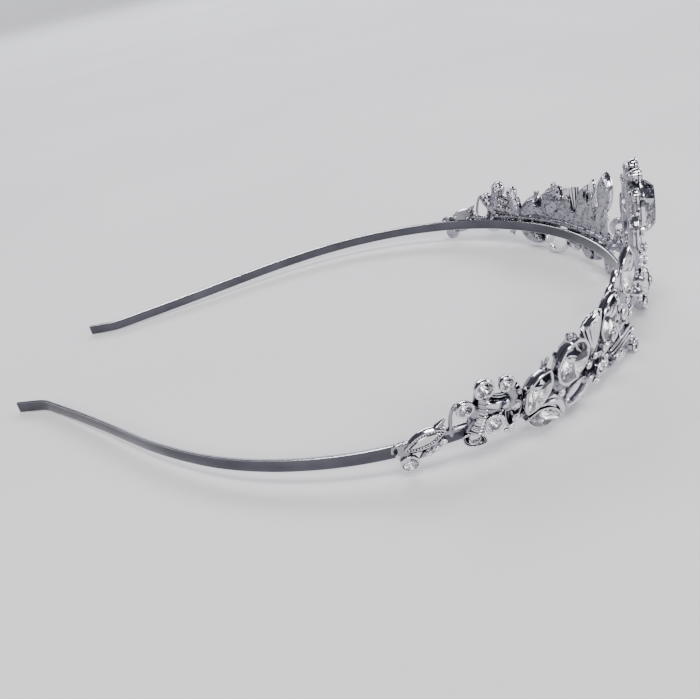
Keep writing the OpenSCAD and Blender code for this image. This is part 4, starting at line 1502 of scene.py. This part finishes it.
# %% Repeat an item
def repeat(item_part, places, size, unevenness, seed, material, tones=None):
    """One item at every place, as a plain mesh. A place is a matrix and a size."""
    item_mesh = mesh_of("item", item_part)
    if tones is not None:
        facets = item_mesh.attributes.new("facet", "FLOAT", "FACE")
        facets.data.foreach_set("value", np.array(tones, np.float32))
    item = bpy.data.objects.new("item", item_mesh)
    spots = bpy.data.meshes.new("spots")
    spots.from_pydata([tuple(m.translation) for m, _ in places], [], [])
    turns = np.array([tuple(m.to_euler()) for m, _ in places], np.float32)
    spots.attributes.new("turn", "FLOAT_VECTOR", "POINT").data.foreach_set("vector", turns.ravel())
    sizes = np.array([s for _, s in places], np.float32)
    spots.attributes.new("size", "FLOAT", "POINT").data.foreach_set("value", sizes)
    host = bpy.data.objects.new("host", spots)
    for thing in (host, item):
        bpy.context.scene.collection.objects.link(thing)
    modifier = host.modifiers.new("repeat", "NODES")
    modifier.node_group = REPEAT
    inputs = {"Item": item, "Size": size, "Unevenness": unevenness, "Seed": seed, "Finish": material}
    for name, value in inputs.items():
        modifier[REPEAT_SOCKETS[name]] = value
    mesh = bpy.data.meshes.new_from_object(host.evaluated_get(bpy.context.evaluated_depsgraph_get()))
    for thing in (host, item):
        bpy.data.objects.remove(thing)
    return mesh


print("the group repeats an item under the name", REPEAT.name)

# %% [markdown]
# ### Stepping off places
# A knurled wheel sets its grains at even steps, whatever the edge does. The places are
# stepped off in the same way, along a stone's outline or along a curve on the sheet.

# %% Step off places
EDGE_POINTS = 240


def along_outline(place, cut, length, width, out, spacing, slant=0.0):
    """Places evenly along an outline, with X along it."""
    edge = outline(cut, length, width, EDGE_POINTS)
    closed = np.r_[edge, edge[:1]]
    reach = np.r_[0, np.cumsum(np.linalg.norm(np.diff(closed, axis=0), axis=1))]
    count = max(3, round(reach[-1] / spacing))
    places = []
    for k in range(count):
        here = reach[-1] * (k / count)
        i = min(np.searchsorted(reach, here, side="right") - 1, EDGE_POINTS - 1)
        f = (here - reach[i]) / max(reach[i + 1] - reach[i], 1e-9)
        x, y = closed[i] + (closed[i + 1] - closed[i]) * f
        dx, dy = closed[i + 1] - closed[i]
        places.append((place @ shift(x, y, out) @ turn("Z", math.degrees(math.atan2(dy, dx)) + slant), 1.0))
    return places


def along_curve(place, points, spacing, size):
    """Places evenly along a smooth curve of along, up, out."""
    path = curve_through(points, 12)
    places, left = [], 0.0
    for a, b in zip(path, path[1:]):
        while left < (b - a).length:
            here = a.lerp(b, left / (b - a).length)
            places.append((place(*here), size))
            left += spacing
        left -= (b - a).length
    return places


print("places round a circle:", len(along_outline(side(0, 0), ROUND, 4, 4, 0, 0.5)))

# %% [markdown]
# ### Milgrain
# The beads run inside the end leaf, round the open loop and down under the big crystal. The
# chains are listed as points of a curve: along the band, up and out.

# %% Roll the milgrain
def bead():
    """A grain of metal: a ball with a flat foot."""
    return loft([ring_at(outline(ROUND, 2 * r, 2 * r, 10), z)
                 for r, z in ((0.7, -0.4), (0.98, -0.1), (0.94, 0.35), (0.66, 0.75), (0.2, 0.98))])


SIDE_CHAINS = [
    [(44, 1.4, 1.6), (36, 1.2, 1.7), (28, 1.4, 1.7), (18, 1.6, 1.6)],
    [(66, 1.6, 2.3), (64.8, 3, 2.5), (63.6, 3.2, 2.3)],
    [(42.6, -3.2, 1.7), (39, -6.2, 1.9), (35.8, -4.6, 1.8)],
    [(22.3, -4.6, 2.4), (21.9, -5.4, 2.4)],
]
CENTRE_CHAINS = [
    [(0.9, 10.2, 2.9), (1, 5, 2.9), (0.9, 1.6, 2.9)],
    [(2, 9.4, 2.9), (5.4, 10.8, 2.4), (6.6, 9.2, 2.2)],
    [(1.8, 6.9, 2.8), (4.6, 6, 2.6), (7.6, 4.3, 2.4), (11.4, 3.4, 2.3), (15, 2.9, 2.2)],
    [(5, 3, 2.5), (8.6, 1.8, 2.3), (12.8, 1, 2.2)],
    [(6.6, 3, 2.2), (7.6, -1, 1.9), (5.2, -4.2, 2.1)],
]
# a trefoil of larger grains, as along, up
TREFOIL = ((62.9, -3.6), (64, -4.2), (62.8, -4.9))
GRAIN_RADIUS, GRAIN_UNEVENNESS = 0.24, 0.12

grains = [(m, 1.15) for m, _ in along_outline(END_LEAF, NAVETTE, 8.0, 2.8, 1.36, 0.6)]
grains += along_outline(LOOP, OVAL, 7.9, 5.1, 1.4, 0.62)
for chain in SIDE_CHAINS:
    grains += along_curve(side, chain, 0.72, 1.35)
grains += [(side(along, up, 1.2), 2.4) for along, up in TREFOIL]
side_grains = repeat(bead(), grains, GRAIN_RADIUS, GRAIN_UNEVENNESS, seed=3, material=POLISHED)
finish_pair("milgrain", side_grains, [POLISHED], tree=side_tree)
centre_places = [place for chain in CENTRE_CHAINS for hand in (1, -1)
                 for place in along_curve(centre, [(hand * x, t, d) for x, t, d in chain], 0.78, 1.5)]
centre_grains = repeat(bead(), centre_places, GRAIN_RADIUS, GRAIN_UNEVENNESS, seed=4, material=POLISHED)
finish("milgrain_centre", centre_grains, [POLISHED], tree=centre_tree)
print("grains:", 2 * len(grains) + len(centre_places))

# %% [markdown]
# ### The rope
# Two wires twisted together and laid round a cup look like a ring of slanted grains. A
# screw modifier could twist real wires, but at this size the slanted grains look the same
# and take far fewer faces.

# %% Lay the rope
# share of the width, height
STRAND_RINGS = ((0.5, -0.7), (1, 0), (0.8, 0.55), (0.3, 0.85))
ROPE_SLANT = 35

strand = loft([ring_at(outline(OVAL, 2.4 * r, 1.1 * r, 10), z) for r, z in STRAND_RINGS])
rope = along_outline(side(67, -0.1, 0), ROUND, 4.45, 4.45, 2.45, 0.36, ROPE_SLANT)
side_rope = repeat(strand, rope, size=0.3, unevenness=0.04, seed=5, material=POLISHED)
finish_pair("rope", side_rope, [POLISHED])
print("strands of the rope:", len(rope))

# %% [markdown]
# ### Claws
# A claw is a pin on the outside of a cup whose top is bent over the stone's edge. One claw
# is a short tube, and the group sets it round the larger stones, square to their edges.

# %% Bend the claws
CLAW_LINE = [(0.5, 0, -1.8), (0.48, 0, -0.5), (0.34, 0, 0.2), (-0.12, 0, 0.42)]
CLAW = tube(CLAW_LINE, [0.34, 0.34, 0.32, 0.24], 8)
CLAW_SIZE, CLAW_UNEVENNESS = 0.7, 0.04


def claws(stones, place, counts, first=0.5):
    """Claws round the stones that counts names. first turns them by a share of a step."""
    places = []
    for name, cut, along, up, foot, d, length, width, turned in stones:
        for k in range(counts.get(name, 0)):
            angle = 360 * (k + first) / counts[name]
            x, y = length / 2 * math.cos(math.radians(angle)), width / 2 * math.sin(math.radians(angle))
            facing = math.degrees(math.atan2(y, x))
            places.append((place(along, up, d, turned) @ shift(x, y, 0) @ turn("Z", facing), 1.0))
    return places


side_claws = claws(SIDE_STONES, side, {"cushion": 4, "blossom": 4, "drop": 4})
side_claws += [(m, 0.6) for m, _ in claws(SIDE_STONES[:1], side, {"end": 4})]
side_set = repeat(CLAW, side_claws, CLAW_SIZE, CLAW_UNEVENNESS, seed=7, material=POLISHED)
finish_pair("claws", side_set, [POLISHED])
centre_claws = [(m, 2.0) for m, _ in claws(CENTRE_STONES[:1], centre, {"crystal": 6}, 0)]
centre_claws += claws(CENTRE_STONES, centre, {"flower": 4, "pendant": 4})
centre_set = repeat(CLAW, centre_claws, CLAW_SIZE, CLAW_UNEVENNESS, seed=8, material=POLISHED)
finish("claws_centre", centre_set, [POLISHED])
print("claws:", 2 * len(side_claws) + len(centre_claws))

# %% [markdown]
# ### Setting the smallest stones
# One stone and one collar stand for all of them, and the group repeats each at its places.
# Stone and collar share a seed, so that each collar is exactly as large as its stone.

# %% Set the small stones
SEAT_UNEVENNESS = 0.02


def collar():
    """A drilled seat one unit in radius, with a thin bright lip."""
    return profiled(ROUND, 2, 2, [(-0.2, -0.9), (0.2, -0.5), (0.26, -0.1), (0.2, 0.12), (0.08, 0.14),
                                  (0, 0.02), (0, -0.1), (-0.6, -0.4)], 18)


def set_small(rows, place, seed):
    """The small stones of these rows, and their collars."""
    places = [(place(along, up, out), width / 2) for along, up, out, width in rows]
    points, faces, front = cut_stone(ROUND, 2, 2, 0.5)
    tones = facet_tones(len(faces), front, "small", 2)
    return (repeat((points, faces), places, 1.0, SEAT_UNEVENNESS, seed, SPARK, tones),
            repeat(collar(), places, 1.0, SEAT_UNEVENNESS, seed, POLISHED))


stones_mesh, collars_mesh = set_small(SIDE_SMALL, side, 11)
finish_pair("small_stones", stones_mesh, [SPARK], "accents", smooth=False)
finish_pair("collars", collars_mesh, [POLISHED])
stones_mesh, collars_mesh = set_small(CENTRE_SMALL, centre, 12)
finish("small_stones_centre", stones_mesh, [SPARK], ["accents_centre"], smooth=False)
finish("collars_centre", collars_mesh, [POLISHED])
print("triangles in the small stones:", made["small_stones_right"], made["small_stones_centre"])

# %% [markdown]
# ## Counting the triangles
# The triangles of all the pieces are counted, and the largest piece is named. The
# dressed tiara must stay inside the box of its CAD model.

# %% Count the triangles
print("triangles:", sum(made.values()), "largest:", max(made, key=made.get), max(made.values()))
